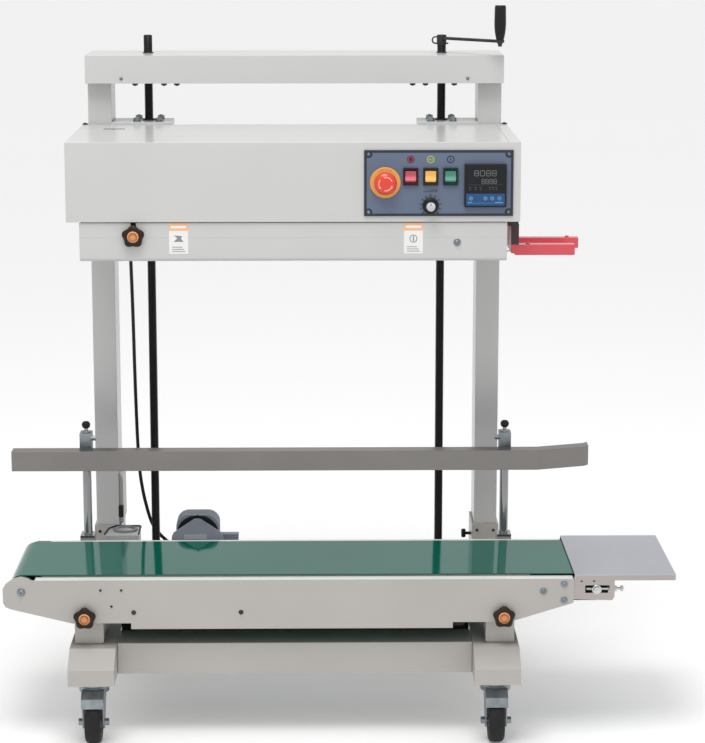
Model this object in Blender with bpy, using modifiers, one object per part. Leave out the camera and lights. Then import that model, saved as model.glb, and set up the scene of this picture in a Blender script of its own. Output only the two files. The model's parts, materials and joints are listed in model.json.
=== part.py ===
"""Continuous band sealer on casters: a sealing head that a crank lifts on two lead screws, over a belt conveyor.

Blender 4.5 script. Metres, +Z up, operator's side towards -Y. The origin is on the floor, under the middle of the
whole machine's box. Positions below are in the machine's own frame, whose X = 0 is midway between the two posts;
the sealer_datum empty moves that frame to the origin.
"""

import math

import bmesh
import bpy
from mathutils import Matrix, Vector

# ---------------------------------------------------------------- driving dimensions
GAP = 0.0003                    # between pieces that touch
SHEET = 0.0015                  # folded sheet covers
SHIFT_X = -0.074                # machine frame to the middle of the whole box
SIDES = {"left": -1, "right": 1}

# base: two feet on casters, two cross-members
FOOT_X = 0.351
FOOT_WIDTH = 0.080
FOOT_HALF_LENGTH = 0.320
FOOT_BOTTOM = 0.114
FOOT_TOP = 0.170
FOOT_WALL = 0.003
CHAMFER_RUN = 0.040
CHAMFER_RISE = 0.0275
CROSSBAR_FRONT = (-0.250, -0.172)
CROSSBAR_REAR = (0.165, 0.225)

# posts, cross beam, lead screws
POST_X = 0.3588
POST_WIDTH = 0.043
POST_Y = (0.150, 0.240)
POST_WALL = 0.003
SOCKET_WALL = 0.0035
SOCKET_TOP = 0.278
BEAM_HALF_LENGTH = 0.382
BEAM_Y = (0.120, 0.270)
BEAM_Z = (1.116, 1.1665)
BEAM_WALL = 0.003
SCREW_X = 0.2715
SCREW_Y = 0.195
SCREW_RADIUS = 0.008
SCREW_Z = (0.174, 1.200)
SPROCKET_RADIUS = 0.0225
SPROCKET_Z = (1.136, 1.142)
CHAIN_THICKNESS = 0.0045

# sealing head
HEAD_HALF_LENGTH = 0.390
HEAD_Y = (-0.185, 0.145)
HEAD_Z = (0.902, 1.039)
BASE_PLATE_Z = (0.893, 0.898)
COVER_HALF_LENGTH = 0.368
COVER_FRONT = -0.182
COVER_Z = (0.8335, 0.9007)
PANEL_X = (0.1214, 0.3770)
PANEL_Z = (0.9124, 1.0258)
PANEL_Y = (-0.1875, -0.1853)
E_STOP = (0.1576, 0.9703)
ROCKERS = {"red": 0.2011, "amber": 0.2353, "green": 0.2694}
ROCKER_Z = 0.9815
ROCKER_SIZE = (0.0185, 0.0195)
ROCKER_TILT = 7.0
SPEED_KNOB = (0.2353, 0.9305)
CONTROLLER = (0.3290, 0.9653)
CONTROLLER_SIZE = (0.072, 0.074)
COVER_KNOB = (-0.275, 0.878)
STAR_RADIUS = 0.020

# sealing bands run in flat loops, one each side of the bag's mouth
SEAL_Y = -0.087
BAND_Z = (0.850, 0.865)
BAND_THICKNESS = 0.001
PULLEY_RADIUS = 0.035
PULLEY_X = 0.315
MOUTH_HALF_GAP = 0.0005         # from the mouth's line to each band
PULLEY_REACH = PULLEY_RADIUS + GAP + BAND_THICKNESS + MOUTH_HALF_GAP

# conveyor
CONVEYOR_Y = (-0.271, -0.008)
CONVEYOR_TOP = 0.290
BELT_Y = (-0.249, -0.030)
BELT_THICKNESS = 0.0017
ROLLER_RADIUS = 0.0225
ROLLER_Z = 0.2694
NOSE_X = -0.473
TAIL_X = 0.525
PANEL_THICKNESS = 0.0025
LEG_X = 0.3585
LEG_WIDTH = 0.050
LEG_Y = (-0.255, -0.155)
LEG_Z = (0.1725, 0.2430)
LEG_WALL = 0.003
STUB_TOP = LEG_Z[1] - 0.003     # the foot's stub, inside the leg sleeve
LEG_KNOB = (0.3635, 0.224)
DROP_X = (-0.284, 0.275)        # the deeper middle stretch of the side panels
TABLE_X = (0.486, 0.662)
TABLE_TOP = 0.297
TABLE_SKIRT = 0.0105
MOTOR_X = -0.1825
MOTOR_Z = 0.287
MOTOR_HALF_WIDTH = 0.0398

# bag guide rail on two upright rods
ROD_X = 0.383
ROD_Y = 0.012
ROD_RADIUS = 0.008
ROD_TOP = 0.4925
RAIL_X = (-0.514, 0.536)
RAIL_BEND_X = 0.440
RAIL_Y = (-0.040, -0.010)
RAIL_Z = (0.4285, 0.4650)
RAIL_SHEET = 0.002
CLAMP_Z = (0.4520, 0.4900)

# casters
CASTER_Y = 0.260
CASTER_TRAIL = 0.022
RACE_Z = 0.1045                 # where the foot's bearing race sits on the fork's crown
WHEEL_RADIUS = 0.0375
WHEEL_WIDTH = 0.028

# crank
CRANK_HUB_Z = (1.180, 1.198)
CRANK_GRIP = (0.372, 0.091)
GRIP_Z = (1.1965, 1.258)

# motor cable, from the head's gland down to the rear cross-member
CABLE_RADIUS = 0.00325
CABLE_ROUTE = [
    (-0.3050, 0.1200, 0.8740),
    (-0.3050, 0.1200, 0.8500),
    (-0.3050, 0.1210, 0.8250),
    (-0.3046, 0.1250, 0.7800),
    (-0.3038, 0.1320, 0.7200),
    (-0.3032, 0.1390, 0.6500),
    (-0.3028, 0.1460, 0.5800),
    (-0.3020, 0.1520, 0.5100),
    (-0.3006, 0.1580, 0.4400),
    (-0.2984, 0.1640, 0.3850),
    (-0.2940, 0.1760, 0.3400),
    (-0.2885, 0.1900, 0.3050),
    (-0.2830, 0.2040, 0.2770),
    (-0.2764, 0.2135, 0.2575),
    (-0.2657, 0.2180, 0.2410),
    (-0.2530, 0.2160, 0.2292),
    (-0.2385, 0.2085, 0.2190),
    (-0.2260, 0.2000, 0.2085),
    (-0.2190, 0.1955, 0.1985),
    (-0.2180, 0.1950, 0.1925),
    (-0.2180, 0.1950, 0.1885),
]
GLAND_RADIUS = 0.007

MATERIALS = {
    "cream_paint": ((0.70, 0.69, 0.66), 0.0, 0.40),
    "panel_blue": ((0.16, 0.20, 0.26), 0.0, 0.45),
    "dark_steel": ((0.05, 0.05, 0.055), 0.8, 0.45),
    "bright_steel": ((0.62, 0.62, 0.62), 1.0, 0.30),
    "stainless": ((0.50, 0.49, 0.47), 1.0, 0.35),
    "table_sheet": ((0.66, 0.68, 0.72), 1.0, 0.30),
    "guide_red": ((0.60, 0.03, 0.04), 0.0, 0.30),
    "zinc": ((0.45, 0.50, 0.50), 0.9, 0.35),
    "belt_green": ((0.01, 0.20, 0.10), 0.0, 0.20),
    "black_plastic": ((0.03, 0.03, 0.03), 0.0, 0.45),
    "button_red": ((0.70, 0.04, 0.03), 0.0, 0.30),
    "lamp_red": ((0.60, 0.03, 0.03), 0.0, 0.30),
    "lamp_amber": ((0.85, 0.45, 0.05), 0.0, 0.30),
    "lamp_green": ((0.02, 0.40, 0.20), 0.0, 0.30),
    "motor_grey": ((0.22, 0.26, 0.30), 0.2, 0.50),
    "band_brown": ((0.40, 0.27, 0.15), 0.0, 0.50),
    "tyre_grey": ((0.06, 0.06, 0.07), 0.0, 0.60),
    "cable_black": ((0.02, 0.02, 0.02), 0.0, 0.50),
}


# ---------------------------------------------------------------- scene helpers
def clear_scene():
    for obj in list(bpy.data.objects):
        bpy.data.objects.remove(obj, do_unlink=True)


def new_collection(name):
    collection = bpy.data.collections.new(name)
    bpy.context.scene.collection.children.link(collection)
    return collection


def make_material(name):
    colour, metallic, roughness = MATERIALS[name]
    material = bpy.data.materials.new(name)
    material.use_nodes = True
    shader = material.node_tree.nodes["Principled BSDF"]
    shader.inputs["Base Color"].default_value = (*colour, 1.0)
    shader.inputs["Metallic"].default_value = metallic
    shader.inputs["Roughness"].default_value = roughness
    return material


clear_scene()
PARTS = new_collection("band_sealer")
CUTTERS = new_collection("cutters")
PAINT = {name: make_material(name) for name in MATERIALS}
DATUM = bpy.data.objects.new("sealer_datum", None)
DATUM.location = (SHIFT_X, 0.0, 0.0)
PARTS.objects.link(DATUM)


def pivot(name, location, parent=None):
    """An empty on a moving body's axis, given in the machine frame."""
    empty = bpy.data.objects.new(name + "_pivot", None)
    PARTS.objects.link(empty)
    empty.parent = parent or DATUM
    origin = Vector(parent["at"]) if parent else Vector((0.0, 0.0, 0.0))
    empty.location = Vector(location) - origin
    empty["at"] = list(location)
    return empty


def finish_node(obj, name, material, parent=None, smooth=None):
    """Names a piece, gives it its material and hangs it on its body's pivot."""
    obj.name = name
    obj.data.name = name
    obj.data.materials.clear()
    obj.data.materials.append(PAINT[material])
    if smooth:
        obj.data.shade_smooth()
        obj.data.set_sharp_from_angle(angle=math.radians(smooth))
    PARTS.objects.link(obj)
    obj.parent = parent or DATUM
    if parent:
        obj.location = -Vector(parent["at"])
    return obj


def link_cutter(obj):
    CUTTERS.objects.link(obj)
    obj.parent = DATUM
    obj.hide_render = True
    obj.display_type = "WIRE"
    return obj


def join_shape(obj, other, operation):
    """Adds a live EXACT Boolean with a piece from the cutters' collection."""
    modifier = obj.modifiers.new(operation.lower(), "BOOLEAN")
    modifier.operation = operation
    modifier.solver = "EXACT"
    modifier.object = link_cutter(other)
    return obj


def add(obj, *others):
    for other in others:
        join_shape(obj, other, "UNION")
    return obj


def cut(obj, *others):
    for other in others:
        join_shape(obj, other, "DIFFERENCE")
    return obj


# ---------------------------------------------------------------- shape helpers
def mesh_object(mesh_data):
    mesh = bpy.data.meshes.new("shape")
    mesh_data.to_mesh(mesh)
    mesh_data.free()
    return bpy.data.objects.new("shape", mesh)


def box(x, y, z):
    """A box between the two ends given on each axis."""
    shape = bmesh.new()
    size = Matrix.Diagonal((x[1] - x[0], y[1] - y[0], z[1] - z[0], 1.0))
    middle = Matrix.Translation([(low + high) / 2 for low, high in (x, y, z)])
    bmesh.ops.create_cube(shape, size=1.0, matrix=middle @ size)
    return mesh_object(shape)


def cylinder(start, end, radius, sides=20, end_radius=None):
    """A round bar, or a cone, from one point to another."""
    start, end = Vector(start), Vector(end)
    along = end - start
    turn = along.to_track_quat("Z", "Y").to_matrix().to_4x4()
    shape = bmesh.new()
    bmesh.ops.create_cone(
        shape,
        cap_ends=True,
        segments=sides,
        radius1=radius,
        radius2=radius if end_radius is None else end_radius,
        depth=along.length,
        matrix=Matrix.Translation((start + end) / 2) @ turn,
    )
    return mesh_object(shape)


def turned(profile, origin, axis="Z", steps=20):
    """A turned piece: (radius, height) pairs from top to bottom, closed onto its axis by radius 0 or into a ring."""
    mesh = bpy.data.meshes.new("profile")
    points = [(radius, 0.0, height) for radius, height in profile]
    closed = profile[0][0] > 0
    edges = [(i, i + 1) for i in range(len(points) - 1)]
    if closed:
        edges.append((len(points) - 1, 0))
    mesh.from_pydata(points, edges, [])
    obj = bpy.data.objects.new("turned", mesh)
    screw = obj.modifiers.new("turn", "SCREW")
    screw.axis = "Z"
    screw.steps = steps
    screw.render_steps = steps
    screw.use_merge_vertices = True
    screw.merge_threshold = 0.00005
    solid = baked(obj)
    frames = {
        "Z": Matrix.Identity(4),
        "X": Matrix.Rotation(math.radians(90), 4, "Y"),
        "-Y": Matrix.Rotation(math.radians(90), 4, "X"),
    }
    solid.data.transform(Matrix.Translation(origin) @ frames[axis])
    return solid


def baked(obj):
    """The evaluated mesh of an object as a plain mesh object, with its seams welded."""
    bpy.context.scene.collection.objects.link(obj)
    bpy.context.view_layer.update()
    evaluated = obj.evaluated_get(bpy.context.evaluated_depsgraph_get())
    mesh = bpy.data.meshes.new_from_object(evaluated)
    solid = bpy.data.objects.new("shape", mesh)
    mesh.transform(obj.matrix_world)
    shape = bmesh.new()
    shape.from_mesh(mesh)
    bmesh.ops.remove_doubles(shape, verts=shape.verts, dist=0.00002)
    shape.to_mesh(mesh)
    shape.free()
    bpy.data.objects.remove(obj, do_unlink=True)
    return solid


def flat_outline(loops, half_thickness):
    """A flat piece in XY from closed outlines; a second outline inside the first is a hole."""
    curve = bpy.data.curves.new("outline", "CURVE")
    curve.dimensions = "2D"
    curve.fill_mode = "BOTH"
    curve.extrude = half_thickness
    for loop in loops:
        spline = curve.splines.new("POLY")
        spline.points.add(len(loop) - 1)
        for point, (u, v) in zip(spline.points, loop):
            point.co = (u, v, 0.0, 1.0)
        spline.use_cyclic_u = True
    return baked(bpy.data.objects.new("outline", curve))


def prism(loops, along, low, high):
    """An outline extruded along X (points are Y, Z), Y (points are X, Z) or Z (points are X, Y)."""
    solid = flat_outline(loops, (high - low) / 2)
    frames = {
        "Z": Matrix.Identity(4),
        "X": Matrix(((0, 0, 1, 0), (1, 0, 0, 0), (0, 1, 0, 0), (0, 0, 0, 1))),
        "Y": Matrix(((1, 0, 0, 0), (0, 0, -1, 0), (0, 1, 0, 0), (0, 0, 0, 1))),
    }
    offset = {"Z": (0, 0, 1), "X": (1, 0, 0), "Y": (0, 1, 0)}[along]
    shift = Matrix.Translation(Vector(offset) * (low + high) / 2)
    solid.data.transform(shift @ frames[along])
    return solid


def stadium(first, second, radius, steps=12):
    """The outline of a belt round two pulleys of one radius, both on a line along the first axis."""
    points = []
    for centre, start in ((second, -90.0), (first, 90.0)):
        for step in range(steps + 1):
            angle = math.radians(start + 180.0 * step / steps)
            points.append((centre[0] + radius * math.cos(angle), centre[1] + radius * math.sin(angle)))
    return points


def star_outline(centre, radius, lobes=5, points_per_lobe=6):
    """A knob's lobed outline, with one lobe straight up."""
    points = []
    count = lobes * points_per_lobe
    for step in range(count):
        angle = 2 * math.pi * step / count
        reach = radius * (0.87 + 0.13 * math.cos(lobes * angle))
        points.append((centre[0] + reach * math.sin(angle), centre[1] + reach * math.cos(angle)))
    return points


def tube_box(x, y, z, wall, along="Z"):
    """A rectangular tube, open at both ends of one axis."""
    inner = [(low + wall, high - wall) for low, high in (x, y, z)]
    axis = "XYZ".index(along)
    ends = (x, y, z)[axis]
    inner[axis] = (ends[0] - 0.01, ends[1] + 0.01)
    return cut(box(x, y, z), box(*inner))


def spread(centre, width):
    return (centre - width / 2, centre + width / 2)


# ---------------------------------------------------------------- base
def foot_profile(inset):
    """Side view of a foot with both ends bevelled, moved in by the wall."""
    end = FOOT_HALF_LENGTH - inset
    shoulder = FOOT_TOP - CHAMFER_RISE - inset * 0.5
    top_end = FOOT_HALF_LENGTH - CHAMFER_RUN - inset * 0.6
    low, high = FOOT_BOTTOM + inset, FOOT_TOP - inset
    return [(-end, low), (end, low), (end, shoulder), (top_end, high), (-top_end, high), (-end, shoulder)]


def build_foot(side, sign):
    """A foot tube with its caster seats, the post's socket and the stub that the conveyor's leg slides on."""
    x = spread(sign * FOOT_X, FOOT_WIDTH)
    foot = prism([foot_profile(0.0)], "X", *x)
    hollow = prism([foot_profile(FOOT_WALL)], "X", x[0] + FOOT_WALL, x[1] - FOOT_WALL)
    drain = cylinder((sign * FOOT_X, 0.0, FOOT_BOTTOM - 0.01), (sign * FOOT_X, 0.0, FOOT_BOTTOM + 0.02), 0.006)
    cut(foot, hollow, drain)
    socket_x = spread(sign * POST_X, POST_WIDTH + 2 * SOCKET_WALL + 2 * GAP)
    socket_y = (POST_Y[0] - SOCKET_WALL - GAP, POST_Y[1] + SOCKET_WALL + GAP)
    add(foot, box(socket_x, socket_y, (FOOT_TOP - 0.001, SOCKET_TOP)))
    well_x = spread(sign * POST_X, POST_WIDTH + 2 * GAP)
    cut(foot, box(well_x, (POST_Y[0] - GAP, POST_Y[1] + GAP), (FOOT_TOP + 0.002, SOCKET_TOP + 0.01)))
    stub_x = spread(sign * LEG_X, LEG_WIDTH - 2 * LEG_WALL - 2 * GAP)
    stub_y = (LEG_Y[0] + LEG_WALL + GAP, LEG_Y[1] - LEG_WALL - GAP)
    add(foot, box(stub_x, stub_y, (FOOT_TOP - 0.001, STUB_TOP)))
    for y in (-CASTER_Y, CASTER_Y):
        seat = box(spread(sign * FOOT_X, 0.058), spread(y, 0.062), (FOOT_BOTTOM - 0.004, FOOT_BOTTOM + 0.001))
        race = cylinder((sign * FOOT_X, y, RACE_Z), (sign * FOOT_X, y, FOOT_BOTTOM - 0.003), 0.024)
        add(foot, seat, race)
    return finish_node(foot, "foot_" + side, "cream_paint")


def build_crossbars():
    """Two tubes between the feet; the rear one carries the screws' lower bearings and the cable's gland."""
    inside = FOOT_X - FOOT_WIDTH / 2 - GAP
    span, height = (-inside, inside), (FOOT_BOTTOM, FOOT_TOP)
    front = tube_box(span, CROSSBAR_FRONT, height, FOOT_WALL, "X")
    finish_node(front, "front_crossbar", "cream_paint")
    rear = tube_box(span, CROSSBAR_REAR, height, FOOT_WALL, "X")
    for sign in SIDES.values():
        x = sign * SCREW_X
        add(rear, cylinder((x, SCREW_Y, FOOT_TOP - 0.001), (x, SCREW_Y, 0.194), 0.020, 24))
        cut(rear, cylinder((x, SCREW_Y, SCREW_Z[0] - 0.001), (x, SCREW_Y, 0.2), SCREW_RADIUS + GAP, 24))
    end = CABLE_ROUTE[-1]
    add(rear, cylinder((end[0], end[1], FOOT_TOP - 0.001), (end[0], end[1], end[2] - GAP), GLAND_RADIUS, 12))
    finish_node(rear, "rear_crossbar", "cream_paint")


def build_post(side, sign):
    x = spread(sign * POST_X, POST_WIDTH)
    post = tube_box(x, POST_Y, (FOOT_TOP + 0.002 + GAP, BEAM_Z[0] - GAP), POST_WALL)
    return finish_node(post, "post_" + side, "cream_paint")


def build_cross_beam():
    """The tube over the posts, which hides the chain between the two screws."""
    beam = tube_box((-BEAM_HALF_LENGTH, BEAM_HALF_LENGTH), BEAM_Y, BEAM_Z, BEAM_WALL, "X")
    for sign in SIDES.values():
        x = sign * SCREW_X
        cut(beam, cylinder((x, SCREW_Y, BEAM_Z[0] - 0.01), (x, SCREW_Y, BEAM_Z[1] + 0.01), 0.0095, 24))
    finish_node(beam, "cross_beam", "cream_paint")
    middle_z = sum(SPROCKET_Z) / 2
    ends = ((-SCREW_X, SCREW_Y), (SCREW_X, SCREW_Y))
    inner = stadium(*ends, SPROCKET_RADIUS + 0.0006)
    outer = stadium(*ends, SPROCKET_RADIUS + 0.0006 + CHAIN_THICKNESS)
    chain = prism([outer, inner], "Z", middle_z - 0.0025, middle_z + 0.0025)
    finish_node(chain, "lift_chain", "dark_steel")


def build_screw(side, sign, parent):
    """A lead screw with the sprocket that the chain turns, inside the beam."""
    top = SCREW_Z[1]
    profile = [
        (0.0, top),
        (SCREW_RADIUS - 0.001, top),
        (SCREW_RADIUS, top - 0.001),
        (SCREW_RADIUS, SPROCKET_Z[1] + 0.004),
        (0.013, SPROCKET_Z[1] + 0.004),
        (0.013, SPROCKET_Z[1]),
        (SPROCKET_RADIUS, SPROCKET_Z[1]),
        (SPROCKET_RADIUS, SPROCKET_Z[0]),
        (0.013, SPROCKET_Z[0]),
        (0.013, SPROCKET_Z[0] - 0.006),
        (SCREW_RADIUS, SPROCKET_Z[0] - 0.006),
        (SCREW_RADIUS, SCREW_Z[0] + 0.001),
        (SCREW_RADIUS - 0.001, SCREW_Z[0]),
        (0.0, SCREW_Z[0]),
    ]
    screw = turned(profile, (sign * SCREW_X, SCREW_Y, 0.0))
    return finish_node(screw, "lead_screw_" + side, "dark_steel", parent, smooth=40)


def build_crank(arm_parent, grip_parent):
    """A flat arm pinned to the right screw, with a grip that turns on its pin."""
    hub = (SCREW_X, SCREW_Y)
    arm_z = (1.185, 1.191)
    eye = cylinder((*hub, CRANK_HUB_Z[0]), (*hub, CRANK_HUB_Z[1]), 0.0135, 24)
    reach = Vector((CRANK_GRIP[0] - hub[0], CRANK_GRIP[1] - hub[1], 0.0))
    bar = box((0.0, reach.length), (-0.0075, 0.0075), arm_z)
    swing = Matrix.Rotation(math.atan2(reach.y, reach.x), 4, "Z")
    bar.data.transform(Matrix.Translation((*hub, 0.0)) @ swing)
    end = cylinder((*CRANK_GRIP, arm_z[0]), (*CRANK_GRIP, arm_z[1]), 0.0075)
    pin = cylinder((*CRANK_GRIP, arm_z[0] - 0.006), (*CRANK_GRIP, GRIP_Z[1] - 0.010), 0.0040, 16)
    cross_pin = cylinder((hub[0] - 0.021, hub[1], 1.1945), (hub[0] + 0.018, hub[1], 1.1945), 0.0022, 10)
    arm = add(eye, bar, end, pin, cross_pin)
    cut(arm, cylinder((*hub, CRANK_HUB_Z[0] - 0.01), (*hub, CRANK_HUB_Z[1] + 0.01), SCREW_RADIUS + GAP, 24))
    finish_node(arm, "crank_arm", "dark_steel", arm_parent)
    low, high = GRIP_Z
    profile = [
        (0.0, high),
        (0.0070, high - 0.0008),
        (0.0105, high - 0.0050),
        (0.0110, high - 0.0120),
        (0.0075, low + 0.0100),
        (0.0070, low),
        (0.0043, low),
        (0.0043, high - 0.0095),
        (0.0, high - 0.0095),
    ]
    grip = turned(profile, (*CRANK_GRIP, 0.0), steps=20)
    finish_node(grip, "crank_grip", "black_plastic", grip_parent, smooth=50)


# ---------------------------------------------------------------- sealing head
def build_head_casing(parent):
    """The folded cover, open below, with a window behind the control panel."""
    shape = bmesh.new()
    x, y, z = (-HEAD_HALF_LENGTH, HEAD_HALF_LENGTH), HEAD_Y, HEAD_Z
    size = Matrix.Diagonal((x[1] - x[0], y[1] - y[0], z[1] - z[0], 1.0))
    middle = Matrix.Translation((0.0, sum(y) / 2, sum(z) / 2))
    bmesh.ops.create_cube(shape, size=1.0, matrix=middle @ size)
    floor = min(shape.faces, key=lambda face: face.calc_center_median().z)
    bmesh.ops.delete(shape, geom=[floor], context="FACES_ONLY")
    casing = mesh_object(shape)
    shell = casing.modifiers.new("sheet", "SOLIDIFY")
    shell.thickness = SHEET
    shell.offset = -1.0
    shell.use_even_offset = True
    window = box((0.132, 0.369), (HEAD_Y[0] - 0.01, HEAD_Y[0] + 0.01), (0.920, 1.017))
    slot = box((-0.344, -0.306), (0.0595, 0.0625), (HEAD_Z[1] - 0.01, HEAD_Z[1] + 0.01))
    cut(casing, window, slot)
    finish_node(casing, "head_casing", "cream_paint", parent)


def build_head_base(parent):
    """The plate that carries the sealing unit, its rear skirt and the cable's gland."""
    half = COVER_HALF_LENGTH
    base = box((-half, half), (-0.176, HEAD_Y[1] - 0.006), BASE_PLATE_Z)
    skirt = box((-half, half), (0.020, 0.022), (COVER_Z[0], BASE_PLATE_Z[0] + 0.002))
    start = CABLE_ROUTE[0]
    gland = cylinder((*start[:2], start[2] + GAP), (*start[:2], BASE_PLATE_Z[0] + 0.001), GLAND_RADIUS, 12)
    add(base, skirt, gland)
    finish_node(base, "head_base", "bright_steel", parent)


def build_lift_carriage(side, sign, parent):
    """A sleeve round the post with a nut plate on the lead screw, bolted behind the head."""
    sleeve_x = spread(sign * POST_X, POST_WIDTH + 0.0076)
    sleeve_y = (HEAD_Y[1] + GAP, POST_Y[1] + 0.0045)
    carriage = box(sleeve_x, sleeve_y, (0.905, 1.037))
    plate_x = sorted((sign * 0.227, sign * 0.340))
    add(carriage, box(plate_x, (sleeve_y[0], 0.235), (1.033, 1.043)))
    add(carriage, box(plate_x, (sleeve_y[0], sleeve_y[0] + 0.005), (0.905, 1.035)))
    x = sign * SCREW_X
    add(carriage, cylinder((x, SCREW_Y, 1.005), (x, SCREW_Y, 1.040), 0.0165, 24))
    cut(carriage, cylinder((x, SCREW_Y, 0.99), (x, SCREW_Y, 1.06), SCREW_RADIUS + GAP, 24))
    well_x = spread(sign * POST_X, POST_WIDTH + 2 * GAP)
    cut(carriage, box(well_x, (POST_Y[0] - GAP, POST_Y[1] + GAP), (0.89, 1.06)))
    finish_node(carriage, "lift_carriage_" + side, "cream_paint", parent)


def build_front_cover(parent):
    """The lower front strip: a folded sheet with a lip, two end returns and a slot for its knob."""
    half, front, back = COVER_HALF_LENGTH, COVER_FRONT, COVER_FRONT + SHEET
    cover = box((-half, half), (front, back), COVER_Z)
    add(cover, box((-half, half), (front, front + 0.008), (COVER_Z[0], COVER_Z[0] + SHEET)))
    for x in ((-half, -half + SHEET), (half - SHEET, half)):
        add(cover, box(x, (front, front + 0.040), (COVER_Z[0], BASE_PLATE_Z[0] - 0.001)))
    x, z = COVER_KNOB
    cut(cover, box(spread(x, 0.009), (front - 0.01, back + 0.001), (z - 0.0045, COVER_Z[1] + 0.01)))
    finish_node(cover, "front_cover", "cream_paint", parent)


def build_control_panel(parent):
    """The panel plate with openings for its switches, knob and controller."""
    panel = box(PANEL_X, PANEL_Y, PANEL_Z)
    through = (PANEL_Y[0] - 0.01, PANEL_Y[1] + 0.01)
    holes = [box(spread(x, 0.0205), through, spread(ROCKER_Z, 0.0240)) for x in ROCKERS.values()]
    holes.append(box(spread(CONTROLLER[0], 0.067), through, spread(CONTROLLER[1], 0.067)))
    for (x, z), radius in ((E_STOP, 0.0115), (SPEED_KNOB, 0.0040)):
        holes.append(cylinder((x, through[0], z), (x, through[1], z), radius))
    finish_node(cut(panel, *holes), "control_panel", "panel_blue", parent)


def build_controller(parent):
    x, z = CONTROLLER
    front = PANEL_Y[0] - GAP
    bezel = box(spread(x, CONTROLLER_SIZE[0]), (front - 0.0075, front), spread(z, CONTROLLER_SIZE[1]))
    add(bezel, box(spread(x, 0.066), (front - 0.001, -0.125), spread(z, 0.066)))
    finish_node(bezel, "temp_controller", "black_plastic", parent)


def build_e_stop(parent):
    """The mushroom button, turned about its own axis towards the operator."""
    profile = [
        (0.0, 0.0250),
        (0.0120, 0.0240),
        (0.0180, 0.0205),
        (0.0195, 0.0165),
        (0.0185, 0.0140),
        (0.0100, 0.0130),
        (0.0100, -0.0150),
        (0.0, -0.0150),
    ]
    button = turned(profile, (E_STOP[0], PANEL_Y[0], E_STOP[1]), axis="-Y")
    finish_node(button, "e_stop_button", "button_red", parent, smooth=40)


def build_rocker(colour, x, parent):
    """A lit rocker, tilted to its off side at rest."""
    front = PANEL_Y[0] - 0.0040
    half = ROCKER_SIZE[1] / 2
    outline = [
        (front + 0.0130, -half * 0.8),
        (front + 0.0130, half * 0.8),
        (front + 0.0000, half),
        (front + 0.0008, 0.0),
        (front + 0.0000, -half),
    ]
    rocker = prism([outline], "X", *spread(x, ROCKER_SIZE[0]))
    middle = Vector((x, front + 0.0065, 0.0))
    tilt = Matrix.Rotation(math.radians(ROCKER_TILT), 4, "X")
    rocker.data.transform(Matrix.Translation(middle) @ tilt @ Matrix.Translation(-middle))
    rocker.data.transform(Matrix.Translation((0.0, 0.0, ROCKER_Z)))
    finish_node(rocker, "rocker_" + colour, "lamp_" + colour, parent)


def build_speed_knob(parent):
    profile = [
        (0.0, 0.0180),
        (0.0085, 0.0180),
        (0.0095, 0.0165),
        (0.0100, 0.0060),
        (0.0135, 0.0035),
        (0.0140, 0.0008),
        (0.0032, 0.0008),
        (0.0032, -0.0120),
        (0.0, -0.0120),
    ]
    knob = turned(profile, (SPEED_KNOB[0], PANEL_Y[0], SPEED_KNOB[1]), axis="-Y", steps=20)
    finish_node(knob, "speed_knob", "black_plastic", parent, smooth=40)


def build_star_knob(name, x, z, face_y, stem, parent):
    """A five-lobed clamping knob in front of a sheet, with its threaded stem."""
    head = prism([star_outline((x, z), STAR_RADIUS)], "Y", face_y - 0.0150, face_y - 0.0030)
    add(head, cylinder((x, face_y - 0.0170, z), (x, face_y - 0.0140, z), 0.0090))
    add(head, cylinder((x, face_y - 0.0040, z), (x, face_y - GAP, z), 0.0085))
    add(head, cylinder((x, face_y - 0.0040, z), (x, face_y + stem, z), 0.0040, 12))
    finish_node(head, name, "black_plastic", parent)


def build_infeed_guide(parent):
    """Two bars that lead the bag's mouth in, on a block with a slot through it."""
    block = box((0.3785, 0.3895), (-0.139, -0.035), (0.840, 0.892))
    cut(block, box((0.37, 0.40), spread(SEAL_Y, 0.012), (0.83, 0.880)))
    add(block, box((0.385, 0.490), (-0.139, -0.121), (0.837, 0.856)))
    add(block, box((0.385, 0.505), (-0.053, -0.035), (0.837, 0.856)))
    finish_node(block, "infeed_guide", "guide_red", parent)


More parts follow.
